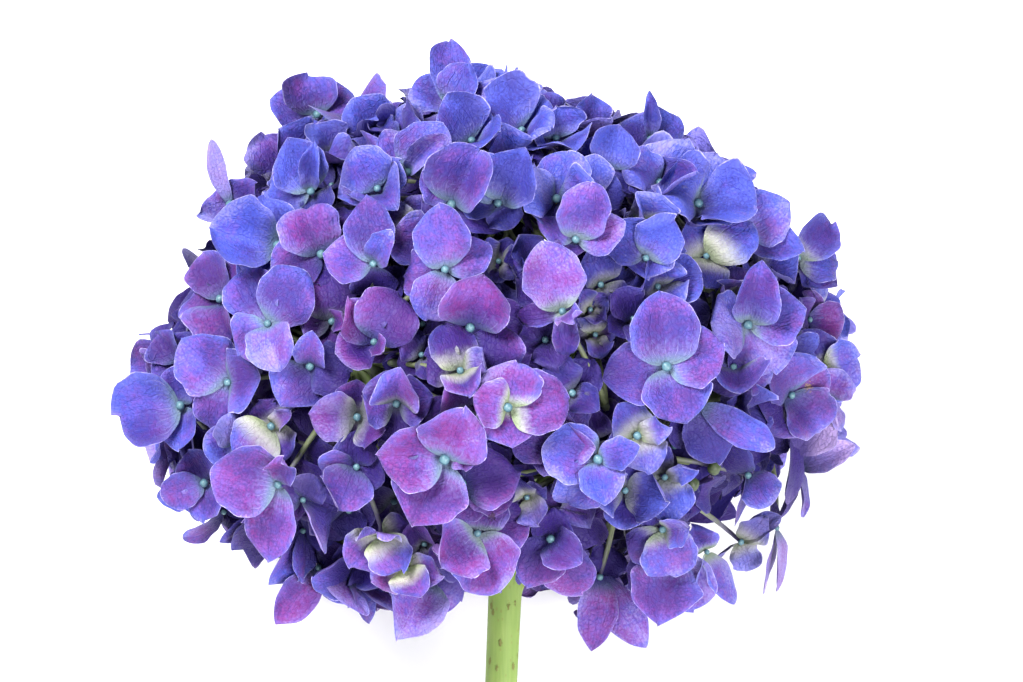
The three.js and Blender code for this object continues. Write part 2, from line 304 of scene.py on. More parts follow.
def add_piece(name, node, finishes, parts):
    """One piece made of many like parts, which rides with the head and stands for its node"""
    starts = np.cumsum([0] + [len(part.points) for part in parts])
    faces = [tuple(start + i for i in face) for part, start in zip(parts, starts) for face in part.faces]
    points = np.concatenate([part.points for part in parts])
    mesh = bpy.data.meshes.new(name)
    mesh.from_pydata(laid(points) * MILLIMETRE, [], faces)
    for finish in finishes:
        mesh.materials.append(finish)
    mesh.polygons.foreach_set("material_index", np.concatenate([part.kinds for part in parts]))
    mesh.polygons.foreach_set("use_smooth", np.ones(len(faces), dtype=bool))
    for mark in parts[0].marks:
        values = np.concatenate([part.marks[mark] for part in parts])
        mesh.attributes.new(mark, "FLOAT", "POINT").data.foreach_set("value", values.astype(np.float32))
    grown = mesh.attributes.new("grown", "FLOAT_VECTOR", "POINT")
    grown.data.foreach_set("vector", points.astype(np.float32).ravel())
    ends = np.empty(len(mesh.edges) * 2, dtype=np.int32)
    mesh.edges.foreach_get("vertices", ends)
    on_rim = np.concatenate([part.rim for part in parts])
    mesh.edges.foreach_set("use_edge_sharp", on_rim[ends.reshape(-1, 2)].all(axis=1))
    across = math.ceil(math.sqrt(sum(len(part.corners) for part in parts)))
    squares = []
    for corners in (corners for part in parts for corners in part.corners):
        place = np.array(divmod(len(squares), across))
        squares.append((place + MAP_MARGIN + (1 - 2 * MAP_MARGIN) * corners) / across)
    flat_map = mesh.uv_layers.new(name="OFBake")
    flat_map.uv.foreach_set("vector", np.concatenate(squares).astype(np.float32).ravel())
    piece = put(name, mesh)
    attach(piece, "root")
    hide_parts(node)
    return piece


add_piece("stem", "stem_and_rays", [stem_bark, cut_face], [stem_shoot()])

# Thirteen rays fork from the stem's top and carry the head. They are thin, ribbed green shoots,
# paler than the stem and tinged violet near the florets, and fan out below the florets.
RAY_COUNT = 13
RAY_END_POLAR = 128
RAY_INSET = 18.6
RAY_FOOT_DEPTH = 4
RAY_FOOT_STEP = 1.4
RAY_RADII = [(0, 2.6), (0.33, 2.1), (0.67, 1.8), (1, 1.7)]
RAY_KNEE = 0.45
KNEE_RISE = 5
WIDE_KNEE_RISE = 6
RAY_STEPS = 22
RAY_SIDES = 12
CROWN_HEIGHT = 84
SQUARENESS = 2.3
GOLDEN_TURN = 137.508
SPIRAL_STEPS = 241
RAY_GREEN = colour(126, 138, 96)
RAY_VIOLET = colour(104, 92, 126)


def surface_point(polar, turn, inset):
    """A point of the head's rounded form, or of the same form drawn in by an inset"""
    drop = math.cos(math.radians(polar))
    height = (CROWN_HEIGHT if polar < 90 else SKIRT_DEPTH) - inset
    power = 2 / SQUARENESS
    out = (HEAD_RADIUS - inset) * math.sin(math.radians(polar)) ** power
    rise = math.copysign(height * abs(drop) ** power, drop)
    return np.array([out * math.cos(math.radians(turn)), out * math.sin(math.radians(turn)), rise])


def spiral(count, last_polar):
    """Spots in a golden spiral, evenly spread from the crown down to a polar angle"""
    polars = np.linspace(0, last_polar, SPIRAL_STEPS)
    line = np.array([surface_point(polar, 0, 0) for polar in polars])
    strips = (line[:-1, 0] + line[1:, 0]) * np.linalg.norm(np.diff(line, axis=0), axis=1)
    area = np.concatenate([[0], np.cumsum(strips)])
    shares = area[-1] * (np.arange(count) + 0.5) / count
    return [(polar, k * GOLDEN_TURN) for k, polar in enumerate(np.interp(shares, area, polars))]


def rounded_route(knots, steps):
    """A smooth route through a few knots"""
    knots = np.asarray(knots, dtype=float)
    knots = np.concatenate([[2 * knots[0] - knots[1]], knots, [2 * knots[-1] - knots[-2]]])
    stretch = np.linspace(0, len(knots) - 3, steps)
    number = np.minimum(stretch.astype(int), len(knots) - 4)
    t = (stretch - number)[:, None]
    a, b, c, d = (knots[number + i] for i in range(4))
    return 0.5 * (2 * b + (c - a) * t + (2 * a - 5 * b + 4 * c - d) * t**2 + (3 * b - a - 3 * c + d) * t**3)


def ray_shoot(tip, number):
    """One ray from inside the stem's top out to its tip"""
    foot = np.array([STEM_TOP_X, 0, STEM_TOP - RAY_FOOT_DEPTH - RAY_FOOT_STEP * (number % 5)])
    knee = foot + RAY_KNEE * (tip - foot)
    knee[2] += KNEE_RISE + WIDE_KNEE_RISE * abs(unit(tip)[0])
    radii = np.interp(np.linspace(0, 1, RAY_STEPS), *zip(*RAY_RADII))
    return round_shoot(rounded_route([foot, knee, tip], RAY_STEPS), radii, RAY_SIDES)


ray_tips = [surface_point(polar, turn, RAY_INSET) for polar, turn in spiral(RAY_COUNT, RAY_END_POLAR)]
ray_bark, blank = new_finish("ray_bark", {"Specular IOR Level": 0.4, **SAP_GLOW})
along = blank.mark("along")
ribs = blank.grown().stretched((1, 1, 0.3)).noise(1.4, 3)
tinge = (along + (ribs - 0.5) * 0.8).eased(0.35, 1.3)
coat(
    ray_bark,
    skin=(tinge * 0.6).between((ribs * 1.2 - 0.1).between(STEM_SHADE, RAY_GREEN), RAY_VIOLET),
    roughness=0.5 + ribs * 0.2,
    relief=ribs,
    depth=0.2,
)
ray_shoots = [ray_shoot(tip, number) for number, tip in enumerate(ray_tips)]
add_piece("rays", "stem_and_rays", [ray_bark, ray_bark], ray_shoots)

# A floret's four petals are really sepals: broad, thin blades with a short claw under the bud, two
# of them over the other two. They are cupped, waved or folded a little, veined from the claw, blue
# to magenta with pale rims and a cream throat, and duller mauve behind.
SEED = 5
SEED_STEP = 104729
NUMBER_STEP = 7919
DRAW_FACTOR = 16807
DRAW_LIMIT = 2147483647
DRAW_RUNS = {
    "outer": 0, "front": 500, "fertile": 600, "inner": 2000, "petals": 4000, "buds": 7000, "knobs": 8000,
}

# The florets that show best are set from the photograph: how far right and up from the head's
# middle, the span, the turn of the first petal, how deep the bud sits, the tone from blue to
# magenta, and how cream the throat is. Where a floret's petals show well, each follows, uppermost
# first: its way, length, half width and lift, and if need be its roll and its painted light, which
# mostly brightens a petal for light shining through it, and below 0 darkens it as painted shade,
# such as the shade inside a cup.
FRONT_FLORETS = [
    # in the middle of the front
    (45.8, 8.6, 32, 12, 3, 0.5, 0, (97, 19, 9.3, 6), (23, 15.3, 8.2, 10), (288, 14.8, 8.8, 4),
     (197, 15.7, 8.2, 0)),
    (66.8, 19.5, 28, 20, 4, 0.4, 0.1, (82, 17, 6.2, 18), (17, 15, 7.6, 6), (180, 11, 8.6, 40),
     (300, 14.5, 9.5, 0)),
    (-11.8, -15.5, 33, 68, 3, 0.8, 0, (66, 15, 9.2, 12), (22, 14.5, 4.5, 38), (173, 16.8, 8.8, 4),
     (242, 18, 10, 0)),
    (4.7, -2, 26, 72, 4, 0.75, 0.4, (165, 9.5, 6.5, 30), (82, 11.5, 8, 12), (10, 16, 8.2, 6),
     (275, 10.5, 9, 28)),
    (28, -15.4, 28, 10, 4, 0.25, 0.05, (20, 12.5, 4.2, 32), (280, 12, 6, 22), (165, 14, 7.8, 6),
     (240, 15, 6.3, -5)),
    (-3.2, -34.5, 30, 45, 4, 0.7, 0.15, (218, 12.8, 8.2, 8), (292, 15.4, 9.3, 0), (88, 11, 8, 5),
     (17, 13, 7.5, -18)),
    (-57.6, 19.8, 29, 40, 3, 0.45, 0, (290, 13, 6.6, 16), (222, 11, 7.5, 12), (50, 16, 8, 4),
     (120, 17, 7, 2)),
    (-68, 4.5, 28, 30, 5, 0.5, 0, (5, 10, 8.4, 14), (132, 16, 8.8, 14), (252, 14, 6.4, 6, 0, -0.5),
     (195, 12.5, 7, -24, 0, -0.5)),
    (-54.9, -22, 28, 75, 4, 0.7, 0, (64, 11, 4, 25), (165, 17, 9.5, 8), (257, 20, 6.5, -5),
     (290, 12, 5, -20)),
    (-11.7, 33.8, 29, 85, 3, 0.6, 0, (100, 16.5, 7.2, 24), (32, 13, 6, 14), (250, 13.5, 6.2, 6),
     (188, 11.5, 6.5, -6)),
    (-30.3, 35.3, 26, 80, 5, 0.5, 0, (50, 13, 4, 45), (95, 17.5, 6.6, 10), (164, 12.5, 7.2, 4),
     (270, 9, 6, -45)),
    (18.9, 22.9, 27, 22, 3, 0.7, 0.2, (300, 10, 3.6, 50), (107, 18, 8, 10), (184, 12.5, 3.2, -12, 0, 0.2),
     (279, 11, 3.4, -6)),
    (22.2, 41.6, 26, 80, 5, 0.65, 0.1, (80, 14.5, 6.5, 16), (20, 13, 6.5, 10), (150, 11, 4, -10),
     (268, 8, 7, 55)),
    (44.7, -33.5, 24, 30, 5, 0.45, 0.4, (20, 9, 4.5, 40), (285, 13, 7.5, 8), (233, 12, 6, -8),
     (95, 6, 5, 50)),
    (-21.3, 59, 28, 45, 5, 0.5, 0, (30, 15, 3, 40), (55, 15, 7.6, 5), (122, 12.5, 5, 12), (200, 9, 4, 10)),
    (-46.4, 54, 28, 30, 4, 0.12, 0.05, (82, 13.5, 3, 40), (115, 14.5, 7.4, 8), (172, 13, 6.5, -5),
     (300, 9, 5, 20)),
    (2, 51, 26, 85, 5, 0.1, 0, (62, 15.5, 8.2, 10), (108, 14, 6.5, 0), (180, 9, 5, -20), (300, 7, 5, 20)),
    (-10.4, 76.7, 26, 90, 3, 0.45, 0, (60, 11, 5.6, 20), (86, 19, 5.4, 0), (150, 12, 5, 8),
     (15, 18, 3, 15)),
    (-24.3, -1, 23, 0, 9, 0.6, 0.35, (85, 11.5, 6.2, 38), (10, 9.5, 6.6, 14), (165, 8.5, 7.5, 8),
     (270, 10, 7.2, -4)),
    (-7.7, 7.6, 20, 10, 8, 0.6, 0.7, (288, 9.5, 5.4, 32), (0, 7.5, 6, 20), (105, 12.5, 6.2, 8),
     (160, 9.5, 6, 4)),
    (-46.7, 8.7, 24, 70, 9, 0.4, 0.1, (78, 10.5, 4.6, 42), (350, 10.5, 7.2, 12), (236, 12, 8, 4),
     (290, 11, 6, -8)),
    (-56.7, -6.8, 22, 60, 9, 0.5, 0.9, (40, 9, 2.6, 30), (225, 13, 7.5, 8), (285, 9.5, 6, 20),
     (120, 7, 6, 20)),
    (38.2, -9.3, 23, 45, 9, 0.25, 1, (20, 10.5, 3.6, 35), (120, 9.5, 5.6, 8), (285, 9.5, 6.6, 8),
     (225, 7, 5.5, 12)),
    (15.7, -35.9, 25, 50, 9, 0.75, 0, (325, 11, 5.5, 46), (85, 10.5, 5.5, 48), (243, 14, 6.6, 4),
     (294, 18, 6.6, -6)),
    (-5.2, 18.7, 25, 90, 10, 0.9, 0.1, (80, 14.5, 9, 22), (3, 14, 7.5, 4), (190, 6, 5, 40), (270, 8, 5, 0)),
    (40.5, 36.8, 25, 30, 6, 0.08, 0.1, (55, 12.5, 6.6, 12), (140, 12, 6.4, 6), (275, 6.5, 7.5, 45),
     (10, 11, 5, -20)),
    (56.1, 37.3, 22, 60, 9, 0.25, 0.9, (35, 15, 7, 10), (265, 9, 6.5, 12), (120, 11, 5.5, 10),
     (335, 9, 5.5, -10)),
    (63.2, 8.6, 24, 40, 9, 0.6, 0.2, (275, 9.5, 7.8, 45), (225, 8, 5.5, 12), (335, 11, 5, -5),
     (90, 6, 5, 0)),
    (45.3, -20, 22, 75, 9, 0.08, 0.6, (20, 9, 2.6, 20), (285, 11.5, 6, 10), (240, 10.5, 5.4, 6),
     (120, 8, 5, 0)),
    (86.6, 7.3, 22, 20, 6, 0.3, 0.6, (20, 10, 6.8, 6), (300, 9, 6, 10), (115, 12, 6, 5), (200, 8, 6, 0)),
    (-30, 15, 25, 60, 9, 0.92, 0, (330, 11, 3, 62), (60, 14, 8.5, 10), (120, 13, 6, 6), (200, 10, 6, 15)),
    (-28.4, -35.1, 22, 60, 8, 0.5, 0.9, (100, 6, 6, 50), (300, 10.5, 6.2, 10), (225, 11, 6.6, 8),
     (10, 8, 5, -10)),
    (30.4, 60, 22, 50, 7, 0.05, 0, (75, 11, 6.4, 12), (150, 10, 6, 10), (350, 11, 6, 20), (270, 8, 6, 40)),
    # deeper, between them
    (2.3, 35.9, 15, 70, 13, 0.3, 0.7),
    (0, 6.2, 22, 60, 11, 0.65, 0.1, (82, 14, 7.4, 12), (28, 12.5, 4, 35), (160, 8, 3, 20)),
    (26, 23.4, 12, 40, 13, 0.4, 1), (27.3, 16.9, 12, 10, 14, 0.4, 1), (28.6, 29.9, 18, 30, 14, 0.2, 0.6),
    (21.3, 1.8, 20, 60, 13, 0.45, 0.4), (-17.7, 11.7, 14, 45, 13, 0.5, 0.5),
    (14.3, 15.6, 18, 30, 12, 0.7, 0.1),
    (-41, 20.3, 20, 50, 12, 0.95, 0.4, (350, 11, 3, 60), (95, 12, 7.5, 10), (160, 9, 6, 10),
     (250, 8, 5, 0)),
    (-34.3, -4.4, 22, 75, 11, 0.8, 0.6), (17.2, 52, 25, 80, 6, 0.2, 0), (-20.3, 44.7, 17, 60, 11, 0.4, 0.9),
    (39, 46.3, 20, 45, 9, 0.15, 0.5), (43.4, 29.4, 22, 20, 10, 0.05, 0.5), (61, 26.5, 18, 60, 12, 0.5, 0.8),
    (-34.6, -17.4, 24, 60, 9, 0.55, 0.1, (245, 12, 7, 5), (195, 9, 6, 5), (90, 9, 6, 20), (330, 8, 5, 25)),
    (-7, -21.6, 26, 20, 9, 0.88, 0, (15, 14.5, 8, 4), (350, 13, 7, -8), (290, 10, 6, 0)),
    (35, -23.4, 22, 75, 10, 0.1, 0.5), (-17, -37.2, 16, 30, 11, 0.95, 0.5),
    (54.6, -31.2, 22, 45, 12, 0.6, 0), (9.6, -25.2, 14, 30, 12, 0.4, 1),
    (-22, -43.5, 20, 30, 5, 0.7, 0.9, (300, 8.5, 5.5, 10, 0, 0.2), (350, 10, 5, 10, 0, 0.3),
     (200, 9, 5.5, 5), (100, 6, 4, 20)),
    # the left side
    (-80.1, -1.5, 31, 0, 3, 0.3, 0, (192, 16.5, 9.6, 6), (95, 10, 5, 20), (275, 12, 5, 10), (10, 8, 5, 10)),
    (-81, 10, 19, 40, 8, 0.5, 0), (-69.7, 26, 27, 5, 7, 0.7, 0), (-73, 34.3, 22, 20, 9, 0.6, 0),
    (-55, 40, 30, 45, 5, 0.05, 0, (168, 17.5, 9, 8), (105, 13, 7, 10), (225, 13, 7, 0), (20, 9, 5, 20)),
    (-43.7, 37.7, 27, 60, 8, 0.75, 0, (110, 13, 8, 10), (200, 13, 7, 0), (40, 12, 7, 5), (270, 9, 5, 20)),
    (-67.2, 50.5, 28, 45, 6, 0.6, 0, (102, 17, 2.7, 10, 15, 0.35), (30, 10, 5, 15), (200, 9, 5, 20),
     (290, 11, 6, 30)),
    (-74, -21.5, 24, 70, 6, 0.5, 0, (200, 11, 4.8, 0, 0, 0.2), (272, 10, 6, 8, 0, 0.2), (120, 9, 6, 10),
     (20, 10, 6, 10)),
    # the crown
    (-44.7, 74, 26, 45, 5, 0.65, 0, (100, 10.5, 7.2, 20), (165, 13, 6, 10), (30, 11, 6, 15),
     (270, 8, 6, 50)),
    (-50.7, 67, 22, 70, 6, 0.35, 0), (-40.3, 64.5, 20, 30, 8, 0.3, 0.3), (-56.7, 62.4, 22, 10, 7, 0.8, 0),
    (0, 82, 22, 60, 5, 0.3, 0), (9, 80.6, 20, 45, 6, 0.2, 0), (17.4, 76, 20, 40, 6, 0.45, 0),
    (26, 70.7, 22, 20, 7, 0.45, 0), (17, 67.6, 24, 20, 5, 0.1, 0), (8.3, 69.7, 25, 60, 5, 0.2, 0),
    (-4.7, 67, 25, 45, 5, 0.25, 0), (-29, 54.6, 24, 30, 6, 0.35, 0), (5, 61.5, 22, 30, 9, 0.3, 0),
    (-24, 68, 22, 60, 8, 0.4, 0), (-30.5, 72.5, 24, 30, 5, 0.3, 0),
    (-9.9, 50.7, 28, 80, 6, 0.5, 0, (60, 15, 8.6, 14), (125, 11, 5, 10), (340, 14, 5, -10), (210, 8, 5, 0)),
    (41.6, 67.5, 20, 75, 7, 0.35, 0, (92, 12, 2.2, 10), (40, 10, 5.5, 10), (150, 9, 6, 10),
     (300, 9, 5, 40)),
    (46.3, 65, 22, 40, 9, 0.3, 0), (55.9, 64.5, 20, 60, 7, 0.2, 0), (61.9, 59.8, 20, 30, 7, 0.15, 0),
    (44.2, 55.9, 28, 70, 6, 0.3, 0), (53.8, 50.7, 28, 80, 6, 0.1, 0.1),
    # the right side, and one more at the crown
    (66, 44, 28, 60, 5, 0.4, 0, (30, 13, 7.5, 5), (340, 16, 6, 10), (115, 10, 7, 10), (250, 8, 6, 30)),
    (79.8, 36.9, 24, 20, 7, 0.4, 0.3, (48, 14, 5.5, 5), (5, 13, 7, 0), (330, 13, 6, 10), (180, 9, 5, 20)),
    (80.6, 44.7, 16, 60, 8, 0.05, 0), (85, 41.6, 18, 60, 6, 0.4, 0), (87.4, 22.9, 20, 60, 6, 0.25, 0.4),
    (82.7, 20.8, 18, 80, 9, 0.85, 0), (78, 1.3, 26, 30, 7, 0.6, 0), (-38, 72, 20, 30, 7, 0.3, 0),
    (66.8, -19.5, 22, 75, 9, 0.4, 0.1, (300, 9, 6, 10, 15), (115, 13, 5.5, 10, 50), (255, 13, 5, 0, 62)),
    (54.6, -1.3, 26, 10, 7, 0.3, 0, (327, 21, 4.4, -4, 0, 0.2), (290, 16, 7.5, -10, 0, -0.5),
     (250, 13, 6, -8, 0, -0.5), (120, 9, 6, 0)),
    # the lower rim
    (-37.7, -45.5, 24, 80, 7, 0.3, 0), (-52, -37.7, 22, 80, 10, 0.5, 0),
    (46, -40, 30, 60, 5, 0.62, 0, (255, 18, 9, 6), (296, 17, 8.6, 10), (225, 13, 6, -8), (60, 8, 6, 20)),
    (65, -36.7, 17, 60, 8, 0.35, 0.9, (53, 9, 4, 10, 0, 0.5), (280, 7.5, 4.4, 15, 0, 0.3),
     (22, 12, 3.6, 10, 55, 0.5), (215, 9.5, 3.6, 0, 62, 0.4)),
]

# Round the lower rim petals hang edge-on with the light between them: how far right and up, how far
# in front of the middle, the tone and the cream, and the petals as above.
HANGING_FLORETS = [
    (-44.5, -43.5, 46, 0.75, 0, (233, 17.8, 5.6, -4, 8, -0.6), (313, 17, 4, 0, 50), (20, 10, 6, 10),
     (80, 9, 6, 10)),
    (-15.6, -46.5, 54, 0.6, 0.1, (240, 17.5, 8, 0), (318, 10, 6.5, 0), (180, 11, 5, 10), (80, 8, 6, 20)),
    (-36, -46.5, 44, 0.6, 0, (318, 18, 4, 0, 50), (285, 12, 5, 0, 60), (60, 8, 5, 10), (150, 9, 5, 10)),
    (28.6, -46, 50, 0.7, 0, (262, 18.5, 5.2, 4, 10), (302, 21, 5.5, 0, -10), (200, 8, 4, 10),
     (60, 8, 5, 10)),
    (87.4, 0.5, 26, 0.75, 0, (243, 17, 6.2, -10, 15, 1.2), (285, 9, 5, 0, 66, 0.4), (60, 8, 6, 0),
     (150, 8, 6, 0)),
    (80, -17.2, 18, 0.6, 0.2, (15, 15.4, 3.9, 0, 12, 0.9), (272, 13, 4, 0, 76, 0.4),
     (240, 15.5, 4, 10, 74, 0.3)),
    (78.5, -7.3, 26, 0.7, 0, (256, 19, 5, 0, 66, 0.7), (200, 9, 5, 0, 20), (90, 8, 6, 10)),
    (74.6, -33.3, 12, 0.7, 0.1, (263, 16, 4.6, 0, 68, 0.2), (250, 17, 4, 0, 76, 0.3), (100, 9, 4, 0, 70)),
    (56.4, -39.5, 55, 0.4, 0.3, (287, 14.5, 5.5, 0, 55), (250, 9, 5, 0, 66), (120, 8, 5, 20)),
    (-80, 0.5, 35, 0.35, 0, (272, 21, 6.5, 0, 66), (262, 16, 6, 10, 60), (100, 9, 5, 10)),
    (-75.4, -22, 30, 0.2, 0, (190, 11, 4.6, 0, 30), (262, 9, 5, 0, 60), (60, 9, 6, 10), (120, 8, 5, 0)),
    (-69.2, -29.1, 25, 0.7, 0, (201, 12, 5, 0, 62), (30, 9, 6, 0, 40), (100, 9, 6, 10)),
    (-60.3, -29.9, 35, 0.5, 0, (205, 11.5, 5, 0, 55), (240, 11, 6, -10, 45), (70, 9, 6, 10),
     (350, 8, 5, 10)),
    (-48.6, -34, 50, 0.35, 0, (232, 16, 6, 0, 42), (262, 13, 5, 0, 58), (20, 9, 6, 10), (120, 9, 6, 10)),
    (-48.6, -26, 66, 0.5, 0.1, (280, 14, 5, 0, 66), (60, 8, 5, 20), (160, 8, 5, 20)),
    (-66, -12, 62, 0.3, 0, (265, 15, 5.5, 0, 68), (100, 9, 5, 20), (180, 8, 5, 10)),
]

# Fertile buds open last. They have the room round them in place of a span.
FERTILE_BUDS = [
    (57.7, -17.4, 20, 0, 8, 0, 0), (52, -21.6, 16, 0, 7, 0, 0), (46, 30, 4, 0, 12, 0, 0),
    (-43.5, -33, 4, 0, 12, 0, 0), (-3, 37, 4, 0, 12, 0, 0), (-20, -28, 4, 0, 12, 0, 0),
]

# The head's reach as the photograph shows it, at every 15 degrees from the right and over the crown.
REACH_STEP = 15
HEAD_REACHES = [
    92, 97, 90, 84, 84, 80, 86, 79, 87, 87, 81, 82, 94, 82, 67, 62, 60, 54, 46, 50, 66, 62, 57, 70, 88,
]

PETALS_BEYOND_BUD = 8.5
HANGING_REACH = 8
# Hanging petals carry painted light, in place of the light that shines through them
HANGING_PAINTED_LIGHT = 0.3
FLOOR_FLORETS = 3
FLOOR_REACH = 14
FLOOR_SPREAD = 19
FLOOR_CONTACT = np.array([0, 0.93 * HEAD_RADIUS, -0.34 * SKIRT_DEPTH])
FLOOR_GAP = 2
PRESSED_GAP = 3.2
RAY_PULL = 0.5
STRAY = 0.5
SEEN_TURNED = 2.4
CROWN_TURNED = 0.35
MIDDLE_TURNED = 0.4
SPOT_COUNT = 900
SKIRT_END = 156
FRONT_SHARE = 0.3
FLORET_REACH = (12.5, 15.5)
BUD_INSET = (3, 9)
INNER_REACH = (8.5, 12)
INNER_INSET = (8, 24)
OUTER_CLOSENESS = 0.58
INNER_CLOSENESS = 0.44
CAMERA_DISTANCE = 2000
AIM_X = 5.6
AIM_Z = 15.3
FLOORWARD = np.array([0, math.cos(LIE_TILT), -math.sin(LIE_TILT)])

# A floret's glow is painted light added to all of its petals
Floret = namedtuple("Floret", "bud towards reach spin cup tone cream finely seen glow", defaults=(0,))


def draws(run, number):
    """Draws between two limits that come out the same each time for a number of a run"""
    state = [((DRAW_RUNS[run] + number) * NUMBER_STEP + SEED * SEED_STEP) % DRAW_LIMIT]

    def draw(low=0.0, high=1.0):
        state[0] = state[0] * DRAW_FACTOR % DRAW_LIMIT
        return low + (high - low) * state[0] / DRAW_LIMIT

    draw()
    draw()
    return draw


def over_floor(points):
    """How far points are above the surface that the head lies on"""
    return MIDDLE_HEIGHT - points @ FLOORWARD


def within_outline(bud):
    """A bud drawn in where the real head is slimmer than its rounded form"""
    angle = math.degrees(math.atan2(bud[2], bud[0])) % 360
    reach = np.interp(angle, np.arange(len(HEAD_REACHES)) * REACH_STEP, HEAD_REACHES)
    share = min(1, (reach - PETALS_BEYOND_BUD) / max(math.hypot(bud[0], bud[2]), 1))
    return bud * np.array([share, 1, share])


def surface_normal(point, inset):
    """The way straight out of the head's form at a point"""
    height = (CROWN_HEIGHT if point[2] > 0 else SKIRT_DEPTH) - inset
    out = math.hypot(point[0], point[1])
    outward = (out / (HEAD_RADIUS - inset)) ** (SQUARENESS - 1) / (HEAD_RADIUS - inset)
    upward = (abs(point[2]) / height) ** (SQUARENESS - 1) / height
    slope = outward / max(out, 1e-6)
    return unit(np.array([slope * point[0], slope * point[1], math.copysign(upward, point[2])]))


def facing(bud, inset, draw):
    """The way a floret faces: out of the head, away from the ray that carries it, and a little astray"""
    ray = min(ray_tips, key=lambda tip: np.linalg.norm(tip - bud))
    stray = STRAY * np.array([draw() - 0.5, draw() - 0.5, draw() - 0.5])
    return unit(surface_normal(bud, inset) + unit(bud - RAY_PULL * ray) + stray)


def front_depth(x, z, inset):
    """How far in front of its middle the head stands at a place, drawn in by an inset"""
    height = (CROWN_HEIGHT if z > 0 else SKIRT_DEPTH) - inset
    out = (HEAD_RADIUS - inset) * max(1 - (abs(z) / height) ** SQUARENESS, 0) ** (1 / SQUARENESS)
    return math.sqrt(max(out**2 - x**2, 0))


def as_seen(x, z, forward):
    """A place in the photograph brought forward, where it looks larger, by that distance"""
    nearer = 1 - forward / CAMERA_DISTANCE
    return AIM_X + (x - AIM_X) * nearer, AIM_Z + (z - AIM_Z) * nearer


def floret_in_front(row, draw):
    """A floret where the photograph shows it, on the head's front"""
    x, z, span, spin, inset, tone, cream, *seen = row
    x, z = as_seen(x, z, front_depth(x, z, inset))
    bud = np.array([x, -front_depth(x, z, inset), z])
    if not seen:
        bud = within_outline(bud)
    turned = SEEN_TURNED if seen else CROWN_TURNED + MIDDLE_TURNED * (1 - abs(z) / CROWN_HEIGHT)
    towards = unit(facing(bud, inset, draw) + np.array([0, -turned, 0]))
    cup = draw(0.05, 0.35) + 0.3 * np.clip(z / 50 - 0.5, 0, 1)
    return Floret(bud, towards, span / 2, spin, cup, tone, cream, 2, seen)


def floret_hanging(row):
    """A floret of the lower rim, with petals that hang edge-on"""
    x, z, forward, tone, cream, *seen = row
    x, z = as_seen(x, z, forward)
    bud = np.array([x, -forward, z])
    towards = unit(np.array([0.0, -1, -0.1]))
    # its petals carry painted light, for the light that shines through them
    return Floret(bud, towards, HANGING_REACH, 0, 0.1, tone, cream, 2, seen, HANGING_PAINTED_LIGHT)


def floret_on_floor(number):
    """One of the flat florets that the head lies on"""
    turn = math.radians(90 + 360 / FLOOR_FLORETS * number)
    across = np.array([1.0, 0, 0])
    bud = FLOOR_CONTACT + FLOORWARD * (over_floor(FLOOR_CONTACT) - FLOOR_GAP)
    bud = bud + FLOOR_SPREAD * (across * math.cos(turn) + np.cross(across, FLOORWARD) * math.sin(turn))
    return Floret(bud, FLOORWARD, FLOOR_REACH, 45 + 30 * number, 0, 0.5, 0.1, 0, [])


def floret_on_spiral(spot, draw, insets, reaches, finely):
    """A floret at a spot of the spiral, turned flat to the surface where the head lies on it"""
    inset = draw(*insets)
    bud = within_outline(surface_point(spot[0], spot[1] + 2 * draw(), inset))
    towards = facing(bud, inset, draw)
    reach = draw(*reaches)
    spin = draw(0, 90)
    cup = draw(0.02, 0.35)
    near = over_floor(bud)
    if near < reach:
        pressed = np.clip((reach - near) / (0.8 * reach), 0, 1)
        towards = unit(towards + (FLOORWARD - towards) * pressed)
        cup = cup * (1 - pressed)
        bud = bud + FLOORWARD * min(0, near - PRESSED_GAP)
    tone = np.clip(0.42 + 0.25 * math.sin(bud[0] / 31 + 2) - bud[2] / 260 + draw(-0.35, 0.35), 0.02, 0.98)
    cream = draw(0, 0.2) if finely else draw(0, 0.5)
    return Floret(bud, towards, reach, spin, cup, tone, cream, finely, [])


def apart(one, other):
    """How far apart two florets are, by the reach of both"""
    return np.linalg.norm(one.bud - other.bud) / (one.reach + other.reach)


def crowd_in(placed, spare, closeness):
    """Adds spare florets one by one where there is most room, until they stand close enough"""
    room = [min(apart(floret, other) for other in placed) for floret in spare]
    while max(room) > closeness:
        chosen = spare[room.index(max(room))]
        placed.append(chosen)
        room = [min(gap, apart(floret, chosen)) for gap, floret in zip(room, spare)]


fertile = [floret_in_front(row, draws("fertile", number)) for number, row in enumerate(FERTILE_BUDS)]
florets = fertile + [floret_on_floor(number) for number in range(FLOOR_FLORETS)]
florets += [floret_in_front(row, draws("front", number)) for number, row in enumerate(FRONT_FLORETS)]
florets += [floret_hanging(row) for row in HANGING_FLORETS]
spots = list(enumerate(spiral(SPOT_COUNT, SKIRT_END)))
outer = [floret_on_spiral(spot, draws("outer", k), BUD_INSET, FLORET_REACH, 1) for k, spot in spots]
outer = [floret for floret in outer if -floret.bud[1] < FRONT_SHARE * HEAD_RADIUS]
crowd_in(florets, outer, OUTER_CLOSENESS)
inner = [floret_on_spiral(spot, draws("inner", k), INNER_INSET, INNER_REACH, 0) for k, spot in spots]
crowd_in(florets, inner, INNER_CLOSENESS)
florets = florets[len(fertile):]

